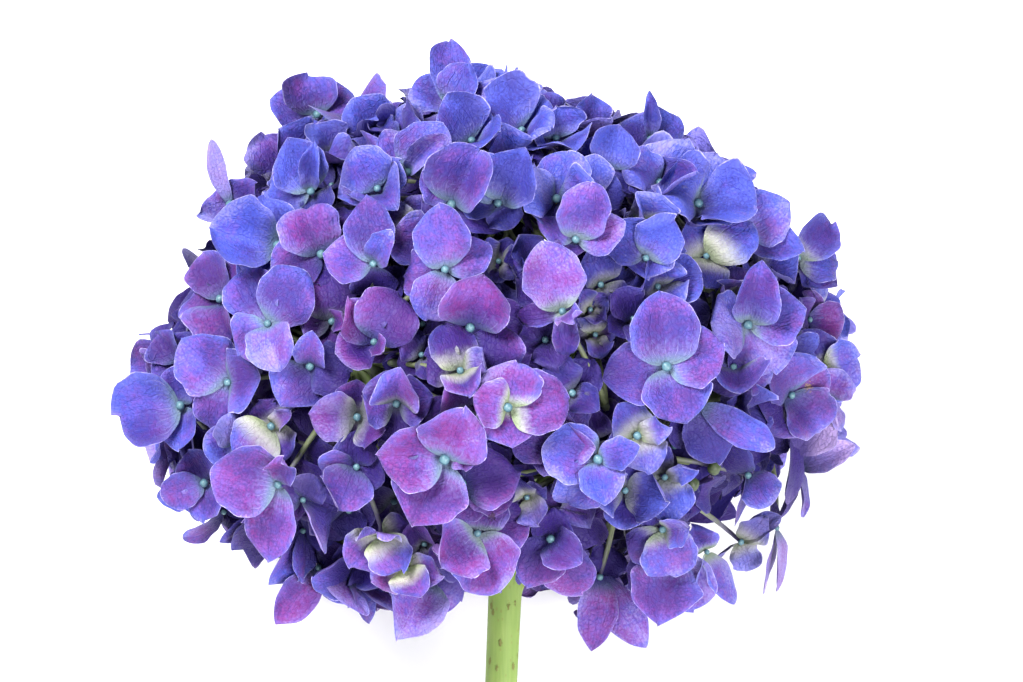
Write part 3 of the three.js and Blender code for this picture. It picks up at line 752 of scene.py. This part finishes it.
# Each petal is drawn as a bent surface, bent once more where another lies over it, and made a
# closed thin blade. The tiers share the petals out by how far down from the crown they grow.
PETAL_GRIDS = (7, 10, 12)
PETAL_THICKNESS = 0.36
PETAL_FLOOR_GAPS = (0.4, 0.65, 0.9, 1.15)
PETAL_GAP = 0.5
SLOPE_STEPS = 32
CLAW_START = 0.5
NICKED = 0.03
PUCKERED = 0.25
NEAR_PETALS = 18
BEST_SIDE = -15
ROLLED_AWAY = 0.5
COVER_REACH = 2.2
COVER_BLUR = 0.9
MOSTLY_UNDER = 0.5
BEND_SPREAD = 4
CLAW_LENGTH = 4
DEEPEST_NEAR = 4
DEEPEST_OWN = 6
SECOND_SHARE = 0.3
PAINTED_SHADE_DEPTH = 26
TIERS = {
    "crown": 46, "shoulder": 62, "upper": 76, "middle": 90,
    "belt": 104, "lower": 120, "skirt": 136, "hem": 181,
}

Grid = namedtuple("Grid", "along across rim to_edge faces corners")
Blade = namedtuple("Blade", "floret number grid rolled surface marks")


def petal_grid(count):
    """Even points over a petal, from its middle line and claw to its rim, and how its faces join"""
    line = np.linspace(-1, 1, count + 1)
    b, a = np.meshgrid(line, line, indexing="ij")
    sideways = a * np.sqrt(1 - b**2 / 2)
    lengthways = b * np.sqrt(1 - a**2 / 2)
    along = (1 + lengthways) / 2
    across = sideways / np.sqrt(np.maximum(1 - lengthways**2, 1e-6))
    rim = np.maximum(abs(a), abs(b)) > 0.999
    front = np.arange((count + 1) ** 2).reshape(count + 1, count + 1)
    back = front.copy()
    back[~rim] = (count + 1) ** 2 + np.arange((~rim).sum())
    walk = [(0, 0), (1, 0), (1, 1), (0, 1)]

    def joined(numbers, steps):
        pieces = [numbers[i : i + count, j : j + count] for i, j in steps]
        return np.stack(pieces, axis=-1).reshape(-1, 4)

    faces = [tuple(face) for face in joined(front, walk).tolist() + joined(back, walk[::-1]).tolist()]
    flat = np.stack([(a + 1) / 2, (b + 1) / 2], axis=-1)
    corners = [np.stack([flat[i : i + count, j : j + count] for i, j in steps], axis=2).reshape(-1, 2)
               for steps in (walk, walk[::-1])]
    return Grid(along, across, rim, np.maximum(abs(a), abs(b)), faces, corners)


def petal_way(floret, number, draw):
    """The way a petal grows from its bud"""
    side = np.array([1.0, 0, 0]) if abs(floret.towards[0]) < 0.9 else np.array([0, 1.0, 0])
    right = unit(side - floret.towards * (side @ floret.towards))
    over = np.cross(floret.towards, right)
    turn = math.radians(floret.spin + 90 * number + draw(-7, 7))
    if floret.seen:
        turn = math.radians(floret.seen[number][0])
    return right * math.cos(turn) + over * math.sin(turn)


def petal_blade(floret, number, grid, draw):
    """The bent surface in the middle of one petal, with what its finish reads there"""
    along, across = grid.along, grid.across
    outwards = petal_way(floret, number, draw)
    sideways = np.cross(floret.towards, outwards)
    length = floret.reach * draw(0.84, 1.1)
    width = length * draw(0.52, 0.68)
    pointed = draw(0.6, 1.15)
    broad = draw(0.38, 0.56)
    lift = 0.1 + floret.cup * 1.5 + draw(-0.12, 0.3)
    bend = draw(-1.0, 0.5)
    fold = draw(0.06, 0.5) + (0.5 if draw() > 0.82 else 0)
    curl = draw(-1.3, 1.3)
    curled_side = 1 if draw() > 0.5 else -1
    dish = draw(-0.2, 0.55)
    twist = draw(-0.4, 0.4)
    wave = draw(0.5, 1.6)
    phases = [draw(0, 6.3) for _ in range(3)]
    sway = draw(-0.08, 0.08)
    over_others = 0.45 if number % 2 else -0.3
    below = number % 2 == 0
    rolled = 0
    painted_light_of_petal = 0
    if floret.seen:
        length, width, lift, *more = floret.seen[number][1:]
        # a petal's own painted light, and below 0 its painted shade
        roll, painted_light_of_petal = (*more, 0, 0)[:2]
        rolled = math.radians(roll)
        lift = math.radians(lift) + 0.2 - 0.05 * number
        calm = 0.25 if rolled else 1
        twist, fold, curl, wave = (amount * calm for amount in (twist, fold, curl, wave))
        bend = bend * calm - 0.1
        broad = broad - 0.06
        over_others = 1 - 0.6 * number
        below = number > 0
    if below:
        fold = fold * 0.7
        dish = dish * 0.7
        curl = -abs(curl) * 0.6

    steps = np.linspace(0, 1, SLOPE_STEPS + 1)
    slopes = lift + bend * steps**1.4
    between = (slopes[1:] + slopes[:-1]) / 2
    reach_out = np.concatenate([[0], np.cumsum(np.cos(between))])
    reach_up = np.concatenate([[0], np.cumsum(np.sin(between))])
    out = CLAW_START + length * np.interp(along, steps, reach_out / SLOPE_STEPS)
    rise = length * np.interp(along, steps, reach_up / SLOPE_STEPS)
    slope = np.interp(along, steps, slopes)
    outline = (along + 0.004) ** broad * np.maximum(1 - along**2.3, 0) ** pointed
    half = width * outline / outline.max()
    nicks = np.sin(11 * along + phases[0] + 2 * across) + np.sin(19 * along + phases[1] - across)
    aside = across * half * (1 + NICKED * nicks)
    lean = fold * (np.sqrt(aside**2 + 0.4) - 0.63) + dish * aside**2 / width
    ripple = np.sin(9 * along + phases[0] + across * 2) * abs(across) ** 2 * np.minimum(1, 3 * along)
    pucker = PUCKERED * np.sin(5 * across + phases[1]) * np.sin(7 * along + phases[2])
    rolled_edge = np.maximum(0, curled_side * across - 0.45) ** 2 * np.minimum(1, 2.5 * along)
    lean = lean + wave * ripple + pucker * along + curl * width * rolled_edge
    turned = twist * along
    aside, lean = aside * np.cos(turned), lean + aside * np.sin(turned)
    out = out - lean * np.sin(slope)
    rise = rise + lean * np.cos(slope) + over_others * np.minimum(1, along / 0.25)
    aside = aside + sway * length * along**2

    across_way = sideways * math.cos(rolled) - floret.towards * math.sin(rolled)
    upward = floret.towards * math.cos(rolled) + sideways * math.sin(rolled)
    surface = floret.bud + out[..., None] * outwards
    surface = surface + aside[..., None] * across_way + rise[..., None] * upward

    marks = petal_marks(floret, grid, length, half, painted_light_of_petal, draw)
    return Blade(floret, number, grid, rolled, surface, marks)


def petal_marks(floret, grid, length, half, painted_light_of_petal, draw):
    """What a petal's finish reads at each point: its place on the petal, its tone, and its brightness,
    which carries painted light and painted shade
    """
    along, across = grid.along, grid.across
    # Crown petals are bluer, and lighter by painted light, as if lit from above
    crown = np.clip((floret.bud[2] - 25) / 50, 0, 1)
    tone = floret.tone + draw(-0.08, 0.08) + draw(-0.3, 0.2) * (along - 0.4) + draw(-0.15, 0.15) * across
    # Brightness at random per petal and along and across it, plus the crown's painted light, the floret's
    # painted glow and the petal's own painted light and shade; some petals are darker down their middle
    brightness_and_painted_light = 0.52 + 0.1 * crown + floret.glow + painted_light_of_petal + draw(-0.4, 0.25)
    brightness_and_painted_light = brightness_and_painted_light + draw(-0.2, 0.5) * (along - 0.5) + draw(-0.25, 0.25) * across
    brightness_and_painted_light = brightness_and_painted_light - max(0, draw(-0.4, 0.8)) * np.sin(math.pi * np.minimum(1, along * 1.1)) * (1 - across**2)
    return {
        "along": along,
        "across": across,
        "tone": tone - 0.2 * crown,
        "brightness_and_painted_light": brightness_and_painted_light,
        "cream": np.full_like(along, floret.cream),
        "to_rim": (1 - grid.to_edge) * length * 0.5,
        "flat_x": across * half + 40 * draw(),
        "flat_y": along * length + 40 * draw(),
    }


def tucked_under(surface, cover, outwards, deepest, always):
    """A petal bent down to just under another that covers it, always or where it is mostly under it"""
    points = surface.reshape(-1, 3)
    height = points @ outwards
    others = cover.reshape(-1, 3)
    level = others @ outwards
    beside = (points - height[:, None] * outwards)[:, None] - (others - level[:, None] * outwards)[None]
    gap = np.linalg.norm(beside, axis=2)
    covered = np.clip(COVER_REACH - gap.min(axis=1), 0, 1)
    weights = np.exp(-((gap / COVER_BLUR) ** 2)) + 1e-12
    under_by = weights @ level / weights.sum(axis=1) - height
    if not covered.any() or not (always or np.average(under_by, weights=covered) > MOSTLY_UNDER):
        return surface
    moves = covered * np.clip(PETAL_GAP - under_by, 0, deepest)
    spread = np.exp(-((np.linalg.norm(points[:, None] - points[None], axis=2) / BEND_SPREAD) ** 2))
    moves = (moves * spread).max(axis=1).reshape(surface.shape[:2])
    claw = np.linalg.norm(surface - surface[0, 0], axis=2)
    return surface - (moves * np.minimum(1, claw / CLAW_LENGTH))[..., None] * outwards


def settle(blades):
    """Bends petals so that they lie over and under each other and don't cross"""
    def bend(lower, upper, deepest, always):
        cover = blades[upper]
        bent = tucked_under(blades[lower].surface, cover.surface, cover.floret.towards, deepest, always)
        blades[lower] = blades[lower]._replace(surface=bent)
    wide = {k for k, blade in enumerate(blades) if abs(blade.rolled) < ROLLED_AWAY}
    covers = [k for k in sorted(wide) if blades[k].floret.finely == 2]
    middles = np.array([blades[k].surface.mean(axis=(0, 1)) for k in covers])
    # twice, the second time by less, as a petal bent under one can come up through the next
    for share in (1, SECOND_SHARE):
        for one in (k for k in sorted(wide) if blades[k].floret.bud[1] < BEST_SIDE):
            near = np.linalg.norm(middles - blades[one].surface.mean(axis=(0, 1)), axis=1) < NEAR_PETALS
            for other in (covers[k] for k in np.flatnonzero(near)):
                if blades[other].floret is not blades[one].floret:
                    bend(one, other, DEEPEST_NEAR * share, always=False)
        for first in (k for k, blade in enumerate(blades) if not blade.number):
            seen = blades[first].floret.seen
            order = [first + k for k in (range(len(seen)) if seen else (1, 3, 0, 2)) if first + k in wide]
            for place, lower in enumerate(order):
                for upper in order[:place]:
                    bend(lower, upper, DEEPEST_OWN * share, always=True)


def petal(blade):
    """One petal as a closed thin blade, kept above the surface that the head lies on"""
    rim = blade.grid.rim
    surface = blade.surface
    sunk = np.maximum(0, PETAL_FLOOR_GAPS[blade.number] - over_floor(surface))
    surface = surface - FLOORWARD * sunk[..., None]
    normal = unit(np.cross(np.gradient(surface, axis=0), np.gradient(surface, axis=1)))
    swell = normal * ((1 - blade.grid.to_edge**6) * PETAL_THICKNESS / 2)[..., None]
    points = np.concatenate([(surface + swell).reshape(-1, 3), (surface - swell)[~rim]])
    # How deep in the head each point lies, for the painted shade that deepens inwards
    out = np.hypot(surface[..., 0], surface[..., 1]) / HEAD_RADIUS
    rise = abs(surface[..., 2]) / np.where(surface[..., 2] > 0, CROWN_HEIGHT, SKIRT_DEPTH)
    fullness = (out**SQUARENESS + rise**SQUARENESS) ** (1 / SQUARENESS)
    inside = np.clip((1 - fullness) * HEAD_RADIUS / PAINTED_SHADE_DEPTH, 0, 1)
    marks = {**blade.marks, "inside": inside}
    marks = {name: np.concatenate([values.reshape(-1), values[~rim]]) for name, values in marks.items()}
    rims = np.concatenate([rim.reshape(-1), np.zeros((~rim).sum(), dtype=bool)])
    kinds = np.repeat([0, 1], len(blade.grid.faces) // 2).astype(np.int32)
    return Part(points, blade.grid.faces, kinds, blade.grid.corners, marks, rims)


PETAL_BLUE = colour(64, 75, 171)
PETAL_VIOLET = colour(84, 69, 159)
PETAL_MAUVE = colour(105, 64, 145)
PETAL_MAGENTA = colour(107, 42, 118)
PETAL_DARK_AND_PAINTED_SHADE = colour(29, 12, 90)
PETAL_LILAC_AND_PAINTED_LIGHT = colour(146, 141, 200)
PETAL_PAINTED_GLOW = colour(206, 178, 230)
PETAL_VEIN = colour(176, 168, 222)
PETAL_CAPILLARY = colour(52, 30, 112)
PETAL_RIM = colour(176, 170, 226)
PETAL_CREAM = colour(192, 194, 160)
PETAL_EYE = colour(88, 114, 134)
THROAT_GREEN = colour(150, 164, 92)
BACK_BLUE = colour(110, 104, 188)
BACK_MAUVE = colour(142, 100, 176)
PETAL_SPOTS = [((0.7, -8.1, -28.6), colour(64, 40, 30)), ((81.2, -3.8, 3.6), colour(168, 138, 110))]


def petal_finish(name, behind):
    """The colour, veins and satin of a petal's face, or of its duller back, with painted light and painted
    shade
    """
    satin = {"Specular IOR Level": 0.25, "Sheen Weight": 0.04, "Sheen Roughness": 0.4}
    glow = {"Subsurface Weight": 0.15, "Subsurface Radius": (0.0018, 0.0012, 0.0026)}
    material, blank = new_finish(name, {**satin, **glow})
    along = blank.mark("along")
    across = blank.mark("across")
    cream = blank.mark("cream")
    flat = blank.node("CombineXYZ", None, {0: blank.mark("flat_x"), 1: blank.mark("flat_y")})
    clouds = flat.noise(0.13, 2)
    patches = flat.stretched((1, 0.6, 1)).noise(0.2, 2)
    mottle = flat.noise(0.75, 3)
    grain = flat.noise(1.7, 3)
    wander = flat.noise(0.3, 1)
    ribs = 1 - abs(((across + (wander - 0.5) * 0.16) * (2.5 * math.pi)).sine()).eased(0.0, 0.22)
    frayed = across + (wander - 0.5) * 0.16 + (mottle - 0.5) * 0.07
    streaks = (1 - abs((frayed * (7.5 * math.pi)).sine()).eased(0.0, 0.7)) * mottle.eased(0.3, 0.65)
    net = 1 - flat.stretched((1, 0.7, 1)).cells(1.0, "DISTANCE_TO_EDGE").eased(0.0, 0.14)
    margin = 1 - blank.mark("to_rim").eased(0, 2.6)
    hue = blank.mark("tone") + (clouds - 0.5) * 1.1 + (mottle - 0.5) * 0.9 - margin * 0.25 + 0.05
    if behind:
        skin = hue.ramp((0.1, BACK_BLUE), (0.7, BACK_MAUVE))
    else:
        skin = hue.ramp((0.05, PETAL_BLUE), (0.38, PETAL_VIOLET), (0.68, PETAL_MAUVE), (1, PETAL_MAGENTA))
    # The brightness mark with patches and grain paints shade where low, lilac light where high, and a pale
    # painted glow beyond that; it also varies the tone at random
    brightness_and_painted_light = blank.mark("brightness_and_painted_light") + (patches - 0.5) * 1.2 + (grain - 0.5) * 1.1 + (mottle - 0.5) * 0.4
    skin = ((0.5 - brightness_and_painted_light).eased(0, 0.6) * 0.62).between(skin, PETAL_DARK_AND_PAINTED_SHADE)
    skin = ((brightness_and_painted_light - 0.5).eased(0, 0.6) * 0.5).between(skin, PETAL_LILAC_AND_PAINTED_LIGHT)
    skin = ((brightness_and_painted_light - 1.15).eased(0, 0.8) * 0.7).between(skin, PETAL_PAINTED_GLOW)
    inner = 1 - (along + (mottle - 0.5) * 0.5).eased(0.05, 0.42)
    skin = (inner * 0.25).between(skin, PETAL_LILAC_AND_PAINTED_LIGHT)
    skin = (net * 0.16 + ribs * 0.1).between(skin, PETAL_CAPILLARY)
    skin = (margin * 0.1).between(skin, PETAL_LILAC_AND_PAINTED_LIGHT)
    skin = ((ribs * 0.18 + streaks * 0.26) * inner).between(skin, PETAL_VEIN)
    skin = ((1 - along.eased(0.04, 0.2)) * 0.75).between(skin, PETAL_EYE)
    reach = (along + (mottle - 0.5) * 0.16 - ribs * 0.03) / (0.1 + cream * 0.5)
    throat = (1 - reach.eased(0.1, 1.1)) * (0.2 + cream).eased(0.0, 0.9)
    pale = along.eased(0.02, 0.25).between(THROAT_GREEN, PETAL_CREAM)
    skin = (throat * 0.9).between(skin, pale)
    rim = (1 - blank.mark("to_rim").eased(0.05, 0.25)) * along.eased(0.12, 0.4) * mottle.eased(0.33, 0.58)
    skin = (rim * 0.72).between(skin, PETAL_RIM)
    for spot, brown in PETAL_SPOTS:
        speck = blank.grown().stretched((1, 0.1, 1)).distance(spot) + (grain - 0.5) * 4 - 0.2
        skin = ((1 - speck.eased(0.3, 1.1)) * 0.9).between(skin, brown)
    # Petals deeper in the head take painted shade, less so in a cream throat
    coat(
        material,
        skin=(blank.mark("inside").eased(0.06, 0.38) * (0.93 - cream * 0.4)).between(skin, PETAL_DARK_AND_PAINTED_SHADE),
        roughness=0.5 + mottle * 0.2,
        relief=(ribs * (1 if behind else -1) + net) * 0.3 + mottle * 0.6 + grain * 0.5,
        depth=0.3,
    )
    return material


petal_face = petal_finish("petal_face", behind=False)
petal_back = petal_finish("petal_back", behind=True)
grids = [petal_grid(count) for count in PETAL_GRIDS]
blades = []
for number, floret in enumerate(florets):
    draw = draws("petals", number)
    blades += [petal_blade(floret, k, grids[floret.finely], draw) for k in range(len(floret.seen) or 4)]
settle(blades)
tiers = {name: [] for name in TIERS}
for blade in blades:
    polar = math.degrees(math.acos(np.clip(unit(blade.floret.bud)[2], -1, 1)))
    tier = next(name for name, lowest in TIERS.items() if polar < lowest)
    tiers[tier].append(petal(blade))
for tier, petals in tiers.items():
    add_piece(f"petals_{tier}", "floret_head", [petal_face, petal_back], petals)

# In each floret's middle sits its flower bud, still closed: four blunt lobes the size of a pinhead,
# waxy and blue-green, grown where the petals' claws meet.
BUD_RADIUS = 1.1
BUD_RISE = 0.93
BUD_RINGS = 5
BUD_SIDES = 12
BUD_START = math.radians(28)
BUD_END = math.radians(175)
BUD_SIZES = (0.85, 1.15)
BUD_LOBES = 0.13
LOBE_SPAN = 0.98
BUD_TEAL = colour(44, 78, 98)
BUD_LIGHT = colour(98, 134, 142)


def closed_bud(floret, draw):
    """A closed four-lobed bud on the claws of its petals"""
    side = unit(np.cross(floret.towards, [0.3, 0.2, 0.9]))
    other = np.cross(floret.towards, side)
    turn = math.radians(floret.spin + 45) + draw(-0.2, 0.2)
    size = draw(*BUD_SIZES) * (0.3 + floret.reach / 22)
    up = np.linspace(BUD_START, BUD_END, BUD_RINGS)[:, None]
    angles = np.linspace(0, 2 * math.pi, BUD_SIDES, endpoint=False)[None, :] + 0 * up
    lobes = abs(np.cos(2 * (angles - turn))) ** 0.6 * np.sin((up - BUD_START) / LOBE_SPAN)
    swell = np.maximum(np.sin(up), 0.06) * BUD_RADIUS * size * (1 + BUD_LOBES * lobes)
    rise = (0.9 - np.cos(up)) * BUD_RISE * size - 0.1 * abs(np.sin(2 * (angles - turn)))
    spokes = np.cos(angles)[..., None] * side + np.sin(angles)[..., None] * other
    points = (floret.bud + swell[..., None] * spokes + rise[..., None] * floret.towards).reshape(-1, 3)
    return closed_tube(points, BUD_RINGS, BUD_SIDES, cut=False)


WAX_GLOW = {"Subsurface Weight": 0.15, "Subsurface Radius": (0.001, 0.0015, 0.0015)}
bud_skin, blank = new_finish("bud_skin", {"Specular IOR Level": 0.5, **WAX_GLOW})
along = blank.mark("along")
grain = blank.grown().noise(1.1, 2)
coat(
    bud_skin,
    skin=(along.eased(0.3, 1) * 0.5 + grain * 0.7 - 0.1).between(BUD_TEAL, BUD_LIGHT),
    roughness=0.3 + grain * 0.2,
    relief=grain,
    depth=0.1,
)
buds = [closed_bud(floret, draws("buds", number)) for number, floret in enumerate(florets)]
add_piece("closed_buds", "floret_head", [bud_skin], buds)

# A few fertile buds, which open last, stand among the stalks. They are round, hard and green, and
# grow on stalks of their own.
FERTILE_SIZE = 34
FERTILE_DARK = colour(16, 24, 18)
FERTILE_GREEN = colour(62, 76, 44)
GREEN_GLOW = {"Subsurface Weight": 0.1, "Subsurface Radius": (0.001, 0.0015, 0.001)}

fertile_skin, blank = new_finish("fertile_skin", {"Specular IOR Level": 0.5, **GREEN_GLOW})
along = blank.mark("along")
grain = blank.grown().noise(1.1, 2)
coat(
    fertile_skin,
    skin=(along.eased(0, 0.8) * 0.4 + grain * 1.6 - 0.5).between(FERTILE_DARK, FERTILE_GREEN),
    roughness=0.4 + grain * 0.2,
    relief=grain,
    depth=0.1,
)
knobs = [bud._replace(reach=FERTILE_SIZE) for bud in fertile]
knobs = [closed_bud(knob, draws("knobs", number)) for number, knob in enumerate(knobs)]
add_piece("fertile_buds", "floret_head", [fertile_skin], knobs)

# Each ray branches into short side shoots, and each of those into the stalks of a few florets.
# They are green below and dull violet close under the petals.
SHOOT_RADII = (1.5, 1.1)
SHOOT_SIDES, SHOOT_STEPS = 8, 7
STALK_RADII = (0.85, 0.55)
STALK_SIDES, STALK_STEPS = 6, 8
FORK_SHARE = 0.42
FORK_LIFT = 1.5
SHOOT_FLOOR_GAP = 1.5
SHOOT_SUNK = 2
STALK_SUNK = 0.8
STALK_SHORT = 0.2
BRANCH_LEAVE = 0.4
BRANCH_ARRIVE = 0.35
FLORETS_TOGETHER = 4
STALK_GREEN = colour(102, 110, 78)
STALK_VIOLET = colour(86, 76, 116)


def branch(start, end, end_way, radii, sides, steps):
    """A thin shoot that leaves its ray outwards and ends square to what it carries"""
    span = np.linalg.norm(end - start)
    leave = start + unit(end - start + unit(start) * span * BRANCH_LEAVE) * span * BRANCH_LEAVE
    arrive = end - end_way * span * BRANCH_ARRIVE
    t = np.linspace(0, 1, steps)[:, None]
    route = (1 - t) ** 3 * start + 3 * t * (1 - t) ** 2 * leave + 3 * t**2 * (1 - t) * arrive + t**3 * end
    sunk = np.maximum(0, SHOOT_FLOOR_GAP - over_floor(route))[:, None]
    return round_shoot(route - FLOORWARD * sunk, np.linspace(*radii, steps), sides)


def nearest_ray(floret):
    """The number of the ray whose tip is nearest to a floret"""
    return min(range(RAY_COUNT), key=lambda k: np.linalg.norm(ray_tips[k] - floret.bud))


shoots = []
stalks = []
for number, tip in enumerate(ray_tips):
    carried = [floret for floret in florets + fertile if nearest_ray(floret) == number]
    outward = unit(tip)
    side = unit(np.cross(outward, [0.2, 0.3, 0.9]))
    other = np.cross(outward, side)
    carried.sort(key=lambda f: math.atan2((f.bud - tip) @ other, (f.bud - tip) @ side))
    groups = [carried[i : i + FLORETS_TOGETHER] for i in range(0, len(carried), FLORETS_TOGETHER)]
    for group in groups:
        middle = sum(f.bud for f in group) / len(group)
        fork = tip + FORK_SHARE * (middle - tip) + outward * FORK_LIFT
        way = unit(fork - tip)
        foot = tip - outward * SHOOT_SUNK
        shoots.append(branch(foot, fork, way, SHOOT_RADII, SHOOT_SIDES, SHOOT_STEPS))
        for f in group:
            foot = fork - way * STALK_SUNK
            top = f.bud - f.towards * STALK_SHORT
            stalks.append(branch(foot, top, f.towards, STALK_RADII, STALK_SIDES, STALK_STEPS))

stalk_bark, blank = new_finish("stalk_bark", {"Specular IOR Level": 0.4, **GREEN_GLOW})
along = blank.mark("along")
grain = blank.grown().noise(0.8, 3)
coat(
    stalk_bark,
    skin=(along + (grain - 0.5) * 0.7).eased(0.3, 1.0).between(STALK_GREEN, STALK_VIOLET),
    roughness=0.5 + grain * 0.2,
    relief=grain,
    depth=0.1,
)
add_piece("side_shoots", "stem_and_rays", [ray_bark, ray_bark], shoots)
add_piece("floret_stalks", "floret_head", [stalk_bark, stalk_bark], stalks)

# The head lies on a plain pale table, which is no part of it, under soft studio light: broad lamps
# over the best side from the left and from the right, weak ones from below and behind the crown,
# and light from all round.
TABLE_SIZE = 6.0
TABLE_WHITE = colour(250, 250, 251)
SKY_WHITE = (0.96, 0.97, 1, 1)
SKY_STRENGTH = 0.15


def from_upright(direction):
    """A direction seen from the upright head, as it lies"""
    return laid(np.array(direction, dtype=float)) - laid(np.zeros(3))


def add_lamp(name, towards, distance, size, power):
    """A square lamp that stands off the head's middle, towards a way of the upright head"""
    lamp = bpy.data.lights.new(name, "AREA")
    lamp.size = size
    lamp.energy = power
    holder = put(name, lamp)
    way = unit(from_upright(towards))
    holder.location = laid(np.zeros(3)) * MILLIMETRE + way * distance
    holder.rotation_mode = "QUATERNION"
    holder.rotation_quaternion = Vector(-way).to_track_quat("-Z", "Y")


table_mesh = bpy.data.meshes.new("table")
edge = TABLE_SIZE / 2
table_corners = [(-edge, -edge, 0), (edge, -edge, 0), (edge, edge, 0), (-edge, edge, 0)]
table_mesh.from_pydata(table_corners, [], [(0, 1, 2, 3)])
table = put("table", table_mesh)
table_top, blank = new_finish("table_top", {"Base Color": TABLE_WHITE, "Roughness": 0.7})
table_mesh.materials.append(table_top)

add_lamp("key_lamp", towards=(-0.45, -0.75, 0.55), distance=1.3, size=0.6, power=41)
add_lamp("fill_lamp", towards=(0.55, -0.85, -0.25), distance=1.5, size=0.9, power=40)
add_lamp("low_lamp", towards=(-0.5, -0.8, -0.6), distance=1.5, size=0.9, power=9)
add_lamp("crown_lamp", towards=(0.15, 0.25, 1), distance=1.3, size=0.9, power=6)
world = bpy.data.worlds.new("studio")
bpy.context.scene.world = world
world.use_nodes = True
world.node_tree.nodes["Background"].inputs["Color"].default_value = SKY_WHITE
world.node_tree.nodes["Background"].inputs["Strength"].default_value = SKY_STRENGTH
bpy.context.scene.view_settings.view_transform = "Standard"

# The camera looks straight at the head's best side, as the photograph does, from far enough that
# nothing looks stretched.
PICTURE_WIDTH = 266
SENSOR_WIDTH = 36
SEES_TO = 20
camera_data = bpy.data.cameras.new("camera")
camera_data.sensor_width = SENSOR_WIDTH
camera_data.lens = SENSOR_WIDTH * CAMERA_DISTANCE / PICTURE_WIDTH
camera_data.clip_end = SEES_TO
camera = put("camera", camera_data)
right, away, up = (from_upright(axis) for axis in ((1, 0, 0), (0, 1, 0), (0, 0, 1)))
place = laid(np.array([AIM_X, -CAMERA_DISTANCE, AIM_Z])) * MILLIMETRE
turned = Matrix((right, up, -away)).transposed().to_4x4()
turned.translation = place
camera.matrix_world = turned
bpy.context.scene.camera = camera
